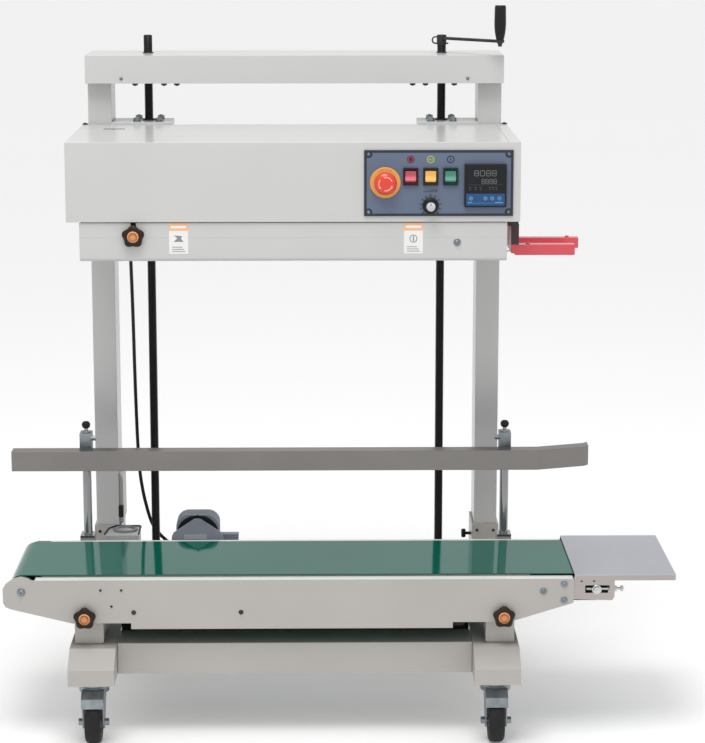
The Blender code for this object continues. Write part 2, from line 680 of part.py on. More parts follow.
def build_sealing_unit(head, pulley_pivots):
    """Heated bars inside two band loops, which meet on the line of the bag's mouth."""
    for place, sign in (("front", -1), ("rear", 1)):
        y = SEAL_Y + sign * PULLEY_REACH
        ends = ((-PULLEY_X, y), (PULLEY_X, y))
        inner = stadium(*ends, PULLEY_RADIUS + GAP)
        outer = stadium(*ends, PULLEY_RADIUS + GAP + BAND_THICKNESS)
        band = prism([outer, inner], "Z", *BAND_Z)
        finish_node(band, "seal_band_" + place, "band_brown", head, smooth=40)
        for end, x in (("in", PULLEY_X), ("out", -PULLEY_X)):
            low, high = BAND_Z[0] - 0.002, BAND_Z[1] + 0.002
            profile = [
                (0.0, BASE_PLATE_Z[0] - GAP),
                (0.0060, BASE_PLATE_Z[0] - GAP),
                (0.0060, high),
                (PULLEY_RADIUS, high),
                (PULLEY_RADIUS, low),
                (0.0, low),
            ]
            pulley = turned(profile, (x, y, 0.0))
            name = "band_pulley_%s_%s" % (place, end)
            finish_node(pulley, name, "bright_steel", pulley_pivots[name], smooth=40)
        face = SEAL_Y + sign * (MOUTH_HALF_GAP + BAND_THICKNESS + GAP)
        bar_y = sorted((face, face + sign * 0.018))
        bar = box((0.010, 0.190), bar_y, (0.846, 0.869))
        hanger_y = sorted((face + sign * 0.004, face + sign * 0.014))
        add(bar, box((0.080, 0.120), hanger_y, (0.868, BASE_PLATE_Z[0] - GAP)))
        finish_node(bar, "heater_" + place, "bright_steel", head)
    gearbox = box((-0.190, -0.100), (-0.060, 0.030), (BASE_PLATE_Z[1] + GAP, 0.965))
    add(gearbox, cylinder((-0.105, -0.015, 0.940), (0.020, -0.015, 0.940), 0.036, 24))
    finish_node(gearbox, "head_gearmotor", "motor_grey", head)


# ---------------------------------------------------------------- conveyor
def panel_outline(name):
    """Side view of a conveyor panel: nose at the left round the roller, sloped ends below."""
    below = [(-0.386, 0.2126), (0.375, 0.2126), (0.4846, 0.2465), (0.4846, CONVEYOR_TOP)]
    if name == "rear":
        nose = [(NOSE_X, CONVEYOR_TOP), (-0.485, 0.2860), (-0.494, 0.2770), (-0.496, 0.2500), (-0.490, 0.2395)]
        return below + nose
    return below + [
        (-0.455, CONVEYOR_TOP),
        (-0.462, 0.2940),
        (-0.473, 0.2968),
        (-0.487, 0.2935),
        (-0.500, 0.2840),
        (-0.505, 0.2750),
        (-0.505, 0.2500),
        (-0.501, 0.2425),
        (-0.492, 0.2385),
    ]


def build_conveyor_panels(parent):
    for name, outer, sign in (("front", CONVEYOR_Y[0], 1), ("rear", CONVEYOR_Y[1], -1)):
        inner = outer + sign * PANEL_THICKNESS
        panel = prism([panel_outline(name)], "Y", *sorted((outer, inner)))
        lip = 0.020 if name == "front" else 0.016
        flange_y = sorted((outer + sign * 0.001, outer + sign * lip))
        add(panel, box((-0.450, 0.4840), flange_y, (CONVEYOR_TOP - 0.0022, CONVEYOR_TOP - 0.0002)))
        add(panel, box(DROP_X, sorted((outer, inner)), (0.2020, 0.2200)))
        if name == "front":
            for side in SIDES.values():
                x, z = side * LEG_KNOB[0], LEG_KNOB[1]
                cut(panel, cylinder((x, outer - 0.01, z), (x, inner + 0.01, z), 0.0055, 16))
        finish_node(panel, "conveyor_panel_" + name, "cream_paint", parent)


def build_conveyor_bed(parent):
    """The slider plate inside the belt, on side webs with cross-members and the two leg sleeves."""
    x = (-0.440, 0.410)
    top = ROLLER_Z + ROLLER_RADIUS - GAP
    plate_y = (BELT_Y[0] + 0.002, BELT_Y[1] - 0.002)
    web_y = ((CONVEYOR_Y[0] + 0.0080, CONVEYOR_Y[0] + 0.0110), (CONVEYOR_Y[1] - 0.0110, CONVEYOR_Y[1] - 0.0080))
    shelf = (0.2833, 0.2868)
    bed = box(x, plate_y, (top - 0.0022, top))
    for edge, inward, web in ((plate_y[0], 1, web_y[0]), (plate_y[1], -1, web_y[1])):
        post_y = sorted((edge + inward * 0.0005, edge + inward * 0.0040))
        shelf_y = sorted((web[0] if inward > 0 else web[1], edge + inward * 0.0035))
        add(bed, box((x[0] + 0.001, x[1] - 0.001), post_y, (shelf[0] + 0.0005, top - 0.001)))
        add(bed, box((x[0] + 0.002, x[1] - 0.002), shelf_y, shelf))
        add(bed, box((-0.400, 0.400), (web[0] + 0.0002, web[1] - 0.0002), (0.2260, shelf[1] - 0.001)))
    for sign in SIDES.values():
        member_x = spread(sign * LEG_X, LEG_WIDTH - 0.004)
        add(bed, box(member_x, (web_y[0][0] + 0.001, web_y[1][1] - 0.001), (0.2280, LEG_Z[1] - 0.0005)))
        add(bed, box(spread(sign * LEG_X, LEG_WIDTH), LEG_Y, LEG_Z))
        well_x = spread(sign * LEG_X, LEG_WIDTH - 2 * LEG_WALL)
        cut(bed, box(well_x, (LEG_Y[0] + LEG_WALL, LEG_Y[1] - LEG_WALL), (0.16, LEG_Z[1] - 0.002)))
        hole_x, hole_z = sign * LEG_KNOB[0], LEG_KNOB[1]
        cut(bed, cylinder((hole_x, -0.266, hole_z), (hole_x, LEG_Y[0] + 0.005, hole_z), 0.0055, 16))
    finish_node(bed, "conveyor_bed", "cream_paint", parent)


def build_rollers(conveyor, drive, tail):
    inner = ROLLER_RADIUS + GAP
    ends = ((NOSE_X, ROLLER_Z), (TAIL_X, ROLLER_Z))
    belt = prism([stadium(*ends, inner + BELT_THICKNESS), stadium(*ends, inner)], "Y", *BELT_Y)
    finish_node(belt, "conveyor_belt", "belt_green", conveyor, smooth=40)
    for name, x, parent in (("drive_roller", NOSE_X, drive), ("tail_roller", TAIL_X, tail)):
        front = CONVEYOR_Y[0] + PANEL_THICKNESS + GAP + (0.0035 if name == "tail_roller" else 0.0)
        back = CONVEYOR_Y[1] - PANEL_THICKNESS - GAP - (0.0035 if name == "tail_roller" else 0.0)
        drum = (BELT_Y[0] + 0.002, BELT_Y[1] - 0.002)
        profile = [
            (0.0, -front),
            (0.0060, -front),
            (0.0060, -drum[0]),
            (ROLLER_RADIUS, -drum[0]),
            (ROLLER_RADIUS, -drum[1]),
            (0.0060, -drum[1]),
            (0.0060, -back),
            (0.0, -back),
        ]
        roller = turned(profile, (x, 0.0, ROLLER_Z), axis="-Y")
        finish_node(roller, name, "bright_steel", parent, smooth=40)


def build_tail_frame(parent):
    """Take-up brackets for the tail roller, tied by a plate at the end."""
    z = (0.250, 0.2925)
    inner = CONVEYOR_Y[0] + PANEL_THICKNESS + GAP
    outer = CONVEYOR_Y[1] - PANEL_THICKNESS - GAP
    x = (0.422, 0.5560)
    frame = box((x[1] - 0.003, x[1]), (inner, outer), (0.262, z[1]))
    for y in ((inner, inner + 0.003), (outer - 0.003, outer)):
        outline = [(x[0], 0.2540), (x[1] - 0.004, z[0]), (x[1], z[0] + 0.006), (x[1], z[1])]
        outline += [(0.4850, z[1]), (0.4850, CONVEYOR_TOP - 0.0027), (x[0], CONVEYOR_TOP - 0.0027)]
        add(frame, prism([outline], "Y", *y))
        cut(frame, box((0.505, 0.547), (y[0] - 0.002, y[1] + 0.002), (0.2635, 0.2770)))
    finish_node(frame, "tail_frame", "stainless", parent)


def build_extension_table(parent):
    """A folded plate beyond the belt, with a skirt on three sides."""
    x, y = TABLE_X, (CONVEYOR_Y[0], CONVEYOR_Y[1] - 0.001)
    table = box(x, y, (TABLE_TOP - TABLE_SKIRT, TABLE_TOP))
    inside = ((x[0] - 0.01, x[1] - SHEET), (y[0] + SHEET, y[1] - SHEET))
    cut(table, box(*inside, (TABLE_TOP - TABLE_SKIRT - 0.01, TABLE_TOP - SHEET)))
    finish_node(table, "extension_table", "table_sheet", parent)


def rounded_square(centre, half, radius, steps=6):
    """The outline of a square with rounded corners."""
    points = []
    for quarter in range(4):
        corner = math.pi / 4 + quarter * math.pi / 2
        reach = (half - radius) * math.sqrt(2)
        hub = (centre[0] + reach * math.cos(corner), centre[1] + reach * math.sin(corner))
        for step in range(steps + 1):
            angle = quarter * math.pi / 2 + step * math.pi / 2 / steps
            points.append((hub[0] + radius * math.cos(angle), hub[1] + radius * math.sin(angle)))
    return points


def build_conveyor_motor(parent):
    """The conveyor's gearmotor, a rounded square housing on a gabled plate behind the rear panel."""
    y = (0.024, 0.029)
    gable = [
        (0.0480, 0.2150),
        (0.0480, 0.2870),
        (0.0445, 0.2955),
        (0.0385, 0.2995),
        (0.0060, 0.3215),
        (0.0, 0.3225),
    ]
    gable += [(-across, z) for across, z in reversed(gable[:-1])]
    motor = prism([[(MOTOR_X + across, z) for across, z in gable]], "Y", *y)
    add(motor, box((MOTOR_X - 0.030, MOTOR_X + 0.030), (CONVEYOR_Y[1] + GAP, y[1] - 0.001), (0.220, 0.262)))
    add(motor, cylinder((MOTOR_X, y[1] - 0.001, MOTOR_Z), (MOTOR_X, 0.0350, MOTOR_Z), 0.0400, 32))
    housing = rounded_square((MOTOR_X, MOTOR_Z), MOTOR_HALF_WIDTH, 0.022)
    add(motor, prism([housing], "Y", 0.0340, 0.0780))
    add(motor, cylinder((MOTOR_X, 0.0770, MOTOR_Z), (MOTOR_X, 0.0950, MOTOR_Z), 0.0290, 32))
    add(motor, box((-0.150, -0.107), (0.0460, 0.0625), (0.2500, 0.2870)))
    finish_node(motor, "conveyor_motor", "motor_grey", parent)


# ---------------------------------------------------------------- guide rail
def build_rail_rod(side, sign, parent):
    x = sign * ROD_X
    foot = box(spread(x, 0.026), (CONVEYOR_Y[1] + GAP, 0.026), (0.262, 0.299))
    add(foot, cylinder((x, ROD_Y, 0.270), (x, ROD_Y, ROD_TOP), ROD_RADIUS, 24))
    add(foot, cylinder((x, ROD_Y, ROD_TOP - 0.001), (x, ROD_Y, 0.500), 0.0035, 12))
    knob = bmesh.new()
    ball = Matrix.Translation((x, ROD_Y, 0.503))
    bmesh.ops.create_uvsphere(knob, u_segments=14, v_segments=8, radius=0.0068, matrix=ball)
    add(foot, mesh_object(knob))
    finish_node(foot, "rail_rod_" + side, "bright_steel", parent)


def build_rail_clamp(side, sign, parent):
    """A block that slides on the rod, with a pinch screw at its side."""
    x = sign * ROD_X
    clamp = box(spread(x, 0.0215), (-0.004, 0.026), CLAMP_Z)
    bore = cylinder((x, ROD_Y, CLAMP_Z[0] - 0.01), (x, ROD_Y, CLAMP_Z[1] + 0.01), ROD_RADIUS + GAP, 24)
    cut(clamp, bore)
    inner = x - sign * 0.0100
    add(clamp, cylinder((inner, -0.001, 0.481), (inner - sign * 0.009, -0.001, 0.481), 0.0045, 12))
    finish_node(clamp, "rail_clamp_" + side, "zinc", parent)


def build_guide_rail(parent):
    """A channel rail with its inlet end bent away, and two arms into the clamps."""
    y0, y1 = RAIL_Y
    flare = 0.030
    t = RAIL_SHEET
    front = [(RAIL_X[0], y0), (RAIL_BEND_X, y0), (RAIL_X[1] - 0.008, y0 + flare), (RAIL_X[1], y0 + flare + 0.010)]
    back = [(x, y + t) for x, y in reversed(front)]
    rail = prism([front + back], "Z", *RAIL_Z)
    shelf_back = [(x, y + (y1 - y0)) for x, y in reversed(front)]
    add(rail, prism([front + shelf_back], "Z", RAIL_Z[1] - t, RAIL_Z[1]))
    add(rail, prism([front + shelf_back], "Z", RAIL_Z[0], RAIL_Z[0] + t))
    for sign in SIDES.values():
        x = sign * ROD_X
        add(rail, box(spread(x, 0.014), (y0 + t / 2, -0.0043), (0.4530, 0.4640)))
    finish_node(rail, "guide_rail", "stainless", parent)


# ---------------------------------------------------------------- casters
def build_caster(place, x, y, fork_parent, wheel_parent):
    """A swivel fork with its axle, and a wheel that turns on it."""
    axle_y = y - CASTER_TRAIL
    axle_z = WHEEL_RADIUS
    leg_gap = WHEEL_WIDTH / 2 + 0.0025
    crown = cylinder((x, y, 0.0890), (x, y, RACE_Z - GAP * 2), 0.0265, 24)
    add(crown, box(spread(x, 2 * leg_gap + 0.005), (axle_y - 0.010, y + 0.018), (0.0835, 0.0900)))
    for sign in (-1, 1):
        leg_x = sorted((x + sign * leg_gap, x + sign * (leg_gap + 0.0025)))
        outline = [
            (axle_y - 0.010, axle_z - 0.006),
            (axle_y - 0.004, axle_z - 0.011),
            (axle_y + 0.006, axle_z - 0.011),
            (axle_y + 0.011, axle_z - 0.004),
            (y + 0.018, 0.078),
            (y + 0.018, 0.0895),
            (axle_y - 0.012, 0.0895),
            (axle_y - 0.012, 0.070),
        ]
        add(crown, prism([outline], "X", *leg_x))
        end_x = x + sign * (leg_gap + 0.0020)
        add(crown, cylinder((end_x, axle_y, axle_z), (end_x + sign * 0.0080, axle_y, axle_z), 0.0065, 6))
    add(crown, cylinder((x - leg_gap - 0.001, axle_y, axle_z), (x + leg_gap + 0.001, axle_y, axle_z), 0.0040, 16))
    finish_node(crown, "caster_fork_" + place, "zinc", fork_parent)
    half = WHEEL_WIDTH / 2
    profile = [
        (WHEEL_RADIUS - 0.0050, half),
        (WHEEL_RADIUS, half - 0.0080),
        (WHEEL_RADIUS, -half + 0.0080),
        (WHEEL_RADIUS - 0.0050, -half),
        (0.0230, -half),
        (0.0220, -half + 0.0040),
        (0.0105, -half + 0.0040),
        (0.0100, -half),
        (0.0043, -half),
        (0.0043, half),
        (0.0100, half),
        (0.0105, half - 0.0040),
        (0.0220, half - 0.0040),
        (0.0230, half),
    ]
    wheel = turned(profile, (x, axle_y, axle_z), axis="X", steps=22)
    finish_node(wheel, "caster_wheel_" + place, "tyre_grey", wheel_parent, smooth=40)


# ---------------------------------------------------------------- cable
def smooth_route(points, spacing):
    """Points on a smooth curve through the route, about the given spacing apart."""
    route = [Vector(point) for point in points]
    padded = [2 * route[0] - route[1]] + route + [2 * route[-1] - route[-2]]
    result = [route[0]]
    for i in range(1, len(padded) - 2):
        before, start, end, after = padded[i - 1 : i + 3]
        steps = max(1, round((end - start).length / spacing))
        for step in range(1, steps + 1):
            t = step / steps
            bend = (2 * before - 5 * start + 4 * end - after) * t * t
            twist = (3 * start - before - 3 * end + after) * t * t * t
            result.append(0.5 * (2 * start + (end - before) * t + bend + twist))
    return result


def build_cable():
    curve = bpy.data.curves.new("motor_cable", "CURVE")
    curve.dimensions = "3D"
    curve.bevel_depth = CABLE_RADIUS
    curve.bevel_resolution = 2
    curve.use_fill_caps = True
    points = smooth_route(CABLE_ROUTE, 0.016)
    spline = curve.splines.new("POLY")
    spline.points.add(len(points) - 1)
    for target, point in zip(spline.points, points):
        target.co = (*point, 1.0)
    finish_node(bpy.data.objects.new("motor_cable", curve), "motor_cable", "cable_black")


# ---------------------------------------------------------------- assembly
def build_frame():
    for side, sign in SIDES.items():
        build_foot(side, sign)
        build_post(side, sign)
    build_crossbars()
    build_cross_beam()
    build_cable()
    for side, sign in SIDES.items():
        screw = pivot("screw_" + side, (sign * SCREW_X, SCREW_Y, 0.0))
        build_screw(side, sign, screw)
        if side == "right":
            build_crank(screw, pivot("crank_grip", (*CRANK_GRIP, 0.0), screw))
    for place, x, y in (
        ("front_left", -FOOT_X, -CASTER_Y),
        ("front_right", FOOT_X, -CASTER_Y),
        ("rear_left", -FOOT_X, CASTER_Y),
        ("rear_right", FOOT_X, CASTER_Y),
    ):
        swivel = pivot("caster_" + place, (x, y, 0.0))
        axle = pivot("wheel_" + place, (x, y - CASTER_TRAIL, WHEEL_RADIUS), swivel)
        build_caster(place, x, y, swivel, axle)


def build_head():
    head = pivot("head", (0.0, SCREW_Y, HEAD_Z[0]))
    build_head_casing(head)
    build_head_base(head)
    for side, sign in SIDES.items():
        build_lift_carriage(side, sign, head)
    build_front_cover(head)
    build_control_panel(head)
    build_controller(head)
    build_infeed_guide(head)
    build_e_stop(pivot("e_stop", (E_STOP[0], PANEL_Y[0], E_STOP[1]), head))
    for colour, x in ROCKERS.items():
        axis = (x, PANEL_Y[0] + 0.0025, ROCKER_Z)
        build_rocker(colour, x, pivot("rocker_" + colour, axis, head))
    build_speed_knob(pivot("speed_knob", (SPEED_KNOB[0], PANEL_Y[0], SPEED_KNOB[1]), head))
    x, z = COVER_KNOB
    knob = pivot("cover_knob", (x, COVER_FRONT, z), head)
    build_star_knob("cover_knob", x, z, COVER_FRONT, 0.010, knob)
    pulleys = {}
    for place, sign in (("front", -1), ("rear", 1)):
        for end, x in (("in", PULLEY_X), ("out", -PULLEY_X)):
            name = "band_pulley_%s_%s" % (place, end)
            pulleys[name] = pivot(name, (x, SEAL_Y + sign * PULLEY_REACH, BAND_Z[0]), head)
    build_sealing_unit(head, pulleys)


def build_conveyor():
    conveyor = pivot("conveyor", (0.0, sum(LEG_Y) / 2, LEG_Z[0]))
    build_conveyor_panels(conveyor)
    build_conveyor_bed(conveyor)
    drive = pivot("drive_roller", (NOSE_X, 0.0, ROLLER_Z), conveyor)
    tail = pivot("tail_roller", (TAIL_X, 0.0, ROLLER_Z), conveyor)
    build_rollers(conveyor, drive, tail)
    build_tail_frame(conveyor)
    build_extension_table(conveyor)
    build_conveyor_motor(conveyor)
    rail = pivot("rail", (0.0, ROD_Y, RAIL_Z[0]), conveyor)
    stem = LEG_Y[0] + LEG_WALL - CONVEYOR_Y[0] - GAP
    for side, sign in SIDES.items():
        build_rail_rod(side, sign, conveyor)
        build_rail_clamp(side, sign, rail)
        x, z = sign * LEG_KNOB[0], LEG_KNOB[1]
        knob = pivot("leg_knob_" + side, (x, CONVEYOR_Y[0], z), conveyor)
        build_star_knob("leg_knob_" + side, x, z, CONVEYOR_Y[0], stem, knob)
    build_guide_rail(rail)


build_frame()
build_head()
build_conveyor()
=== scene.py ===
"""Looks of the continuous band sealer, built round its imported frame.

Places are in metres, +Z up, the operator's side towards -Y. They come from the frame's own boxes, or are
given in the machine's frame, whose X = 0 is midway between the two posts, through at(). Turned profiles, and
the radii and heights of bars and fasteners, are in millimetres.
"""

import json
import math

import bmesh
import bpy
from mathutils import Matrix, Vector


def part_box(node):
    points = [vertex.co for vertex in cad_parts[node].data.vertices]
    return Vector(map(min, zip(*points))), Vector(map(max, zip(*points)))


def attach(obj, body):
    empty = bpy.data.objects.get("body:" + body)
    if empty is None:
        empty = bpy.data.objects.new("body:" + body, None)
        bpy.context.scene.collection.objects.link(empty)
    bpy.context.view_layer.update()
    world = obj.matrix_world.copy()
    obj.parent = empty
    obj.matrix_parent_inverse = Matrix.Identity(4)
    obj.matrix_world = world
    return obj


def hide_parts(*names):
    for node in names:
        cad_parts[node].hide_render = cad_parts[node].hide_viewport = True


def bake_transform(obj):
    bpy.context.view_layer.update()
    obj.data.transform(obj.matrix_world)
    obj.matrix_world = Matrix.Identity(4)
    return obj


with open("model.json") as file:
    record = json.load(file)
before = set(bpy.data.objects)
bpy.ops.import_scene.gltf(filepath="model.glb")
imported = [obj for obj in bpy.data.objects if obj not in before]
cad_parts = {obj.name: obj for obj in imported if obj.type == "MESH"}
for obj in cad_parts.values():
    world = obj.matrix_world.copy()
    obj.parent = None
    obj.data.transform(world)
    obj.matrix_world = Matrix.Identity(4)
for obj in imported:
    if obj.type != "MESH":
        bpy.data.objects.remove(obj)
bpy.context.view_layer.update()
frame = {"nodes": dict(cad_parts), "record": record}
RECORD = frame["record"]
BODY_OF = {node: body for body, nodes in RECORD["behaviour"]["bodies"].items() for node in nodes}
SLOT_OF = {part["node"]: part["material_slot"] for part in RECORD["subparts"]}
SIDES = {"left": -1, "right": 1}
MM = 0.001


# ---- places
def box_of(node):
    low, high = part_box(node)
    return Vector(low), Vector(high)


def middle(node):
    low, high = box_of(node)
    return (low + high) / 2


X_MID = (box_of("post_left")[0].x + box_of("post_right")[1].x) / 2


def at(x, y, z):
    """A point whose X is measured from midway between the posts."""
    return Vector((X_MID + x, y, z))


# ---- camera, light, floor
def new_object(name, data):
    made = bpy.data.objects.new(name, data)
    bpy.context.scene.collection.objects.link(made)
    return made


def build_camera():
    data = bpy.data.cameras.new("camera")
    data.lens = 116.3
    data.sensor_width = 36.0
    data.clip_end = 200.0
    camera = new_object("camera", data)
    camera.location = (-0.026, -4.279, 1.451)
    camera.rotation_euler = (math.radians(78.8), 0.0, math.radians(-0.75))
    bpy.context.scene.camera = camera


def build_studio():
    scene = bpy.context.scene
    scene.view_settings.view_transform = "Standard"
    world = bpy.data.worlds.new("studio")
    world.use_nodes = True
    back = world.node_tree.nodes["Background"]
    back.inputs["Color"].default_value = (1.0, 1.0, 1.0, 1.0)
    back.inputs["Strength"].default_value = 0.83
    scene.world = world
    data = bpy.data.lights.new("key", "AREA")
    data.shape = "DISK"
    data.size = 1.6
    data.energy = 44.0
    light = new_object("key", data)
    light.location = (-0.25, -1.15, 3.1)
    light.rotation_euler = (Vector((0.0, 0.0, 1.0)) - light.location).to_track_quat("-Z", "Y").to_euler()
    floor_shape = bmesh.new()
    bmesh.ops.create_grid(floor_shape, x_segments=1, y_segments=1, size=60.0)
    mesh = bpy.data.meshes.new("floor")
    floor_shape.to_mesh(mesh)
    floor_shape.free()
    floor = new_object("floor", mesh)
    mesh.materials.append(surface("floor_paper", (0.955, 0.955, 0.955), 0.9, mottle=0.004, patches=0.5,
                                  Emission_Color=(1.0, 1.0, 1.0, 1.0), Emission_Strength=0.09))


# ---- materials
LOOKS = {}


def set_inputs(node, **values):
    """Sets a shader node's inputs, named with _ for each space, and gives the node back."""
    for socket, value in values.items():
        node.inputs[socket.replace("_", " ")].default_value = value
    return node


def surface(name, colour, roughness, grain=900.0, bump=0.0, mottle=0.03, metallic=0.0, patches=6.0,
            brushed=None, spread=0.05, **sockets):
    """A Principled material in object space: soft colour variation, fine bump and uneven gloss.

    grain and patches are noise scales, mottle is the share by which the colour varies, spread the amount by
    which the gloss does, and brushed names the axis that fine lines run along.
    """
    material = bpy.data.materials.new(name)
    material.use_nodes = True
    nodes, links = material.node_tree.nodes, material.node_tree.links
    shader = set_inputs(nodes["Principled BSDF"], Metallic=metallic, **sockets)
    place = nodes.new("ShaderNodeTexCoord").outputs["Object"]

    cloud = set_inputs(nodes.new("ShaderNodeTexNoise"), Scale=patches, Detail=4.0)
    links.new(place, cloud.inputs["Vector"])
    tint = nodes.new("ShaderNodeValToRGB")
    for element, position, share in zip(tint.color_ramp.elements, (0.3, 0.7), (1 - mottle, 1 + mottle)):
        element.position = position
        element.color = (*[min(1.0, c * share) for c in colour], 1.0)
    links.new(cloud.outputs["Fac"], tint.inputs["Fac"])
    links.new(tint.outputs["Color"], shader.inputs["Base Color"])

    fine = set_inputs(nodes.new("ShaderNodeTexNoise"), Scale=grain, Detail=3.0)
    if brushed:
        stretched = [0.012 if axis == brushed else 1.0 for axis in "XYZ"]
        stretch = set_inputs(nodes.new("ShaderNodeMapping"), Scale=stretched)
        links.new(place, stretch.inputs["Vector"])
        links.new(stretch.outputs["Vector"], fine.inputs["Vector"])
    else:
        links.new(place, fine.inputs["Vector"])
    gloss = set_inputs(nodes.new("ShaderNodeMapRange"), To_Min=max(0.02, roughness - spread),
                       To_Max=roughness + spread)
    links.new((fine if brushed else cloud).outputs["Fac"], gloss.inputs["Value"])
    links.new(gloss.outputs["Result"], shader.inputs["Roughness"])
    if bump:
        relief = set_inputs(nodes.new("ShaderNodeBump"), Strength=bump, Distance=0.0005)
        links.new(fine.outputs["Fac"], relief.inputs["Height"])
        links.new(relief.outputs["Normal"], shader.inputs["Normal"])
    LOOKS[name] = material
    return material


def dull(*values, **options):
    """A surface with weak reflections, as moulded black plastic has."""
    return surface(*values, Specular_IOR_Level=0.22, **options)


def glowing(name, colour, strength, low, high):
    """A lit plastic lens between two heights, brightest in a band near its lower end; its dim lowest band is
    painted shade of the rocker's pressed-in lower half.
    """
    material = surface(name, colour, 0.25, mottle=0.02, Coat_Weight=0.4)
    nodes, links = material.node_tree.nodes, material.node_tree.links
    shader = nodes["Principled BSDF"]
    split = nodes.new("ShaderNodeSeparateXYZ")
    links.new(nodes["Texture Coordinate"].outputs["Object"], split.inputs["Vector"])
    height = set_inputs(nodes.new("ShaderNodeMapRange"), From_Min=low, From_Max=high)
    links.new(split.outputs["Z"], height.inputs["Value"])
    ramp = nodes.new("ShaderNodeValToRGB")
    # The glow along the lens; the dim lowest stops are painted shade of the rocker's tilt.
    glow_and_shade_stops = ((0.0, 0.04), (0.13, 0.08), (0.2, 1.0), (0.42, 0.8), (0.6, 0.22), (1.0, 0.06))
    while len(ramp.color_ramp.elements) < len(glow_and_shade_stops):
        ramp.color_ramp.elements.new(0.5)
    for element, (place, level) in zip(ramp.color_ramp.elements, glow_and_shade_stops):
        element.position = place
        element.color = (level * strength, level * strength, level * strength, 1.0)
    links.new(height.outputs["Result"], ramp.inputs["Fac"])
    set_inputs(shader, Emission_Color=(*[min(1.0, c * 1.3 + 0.24) for c in colour], 1.0))
    links.new(ramp.outputs["Color"], shader.inputs["Emission Strength"])


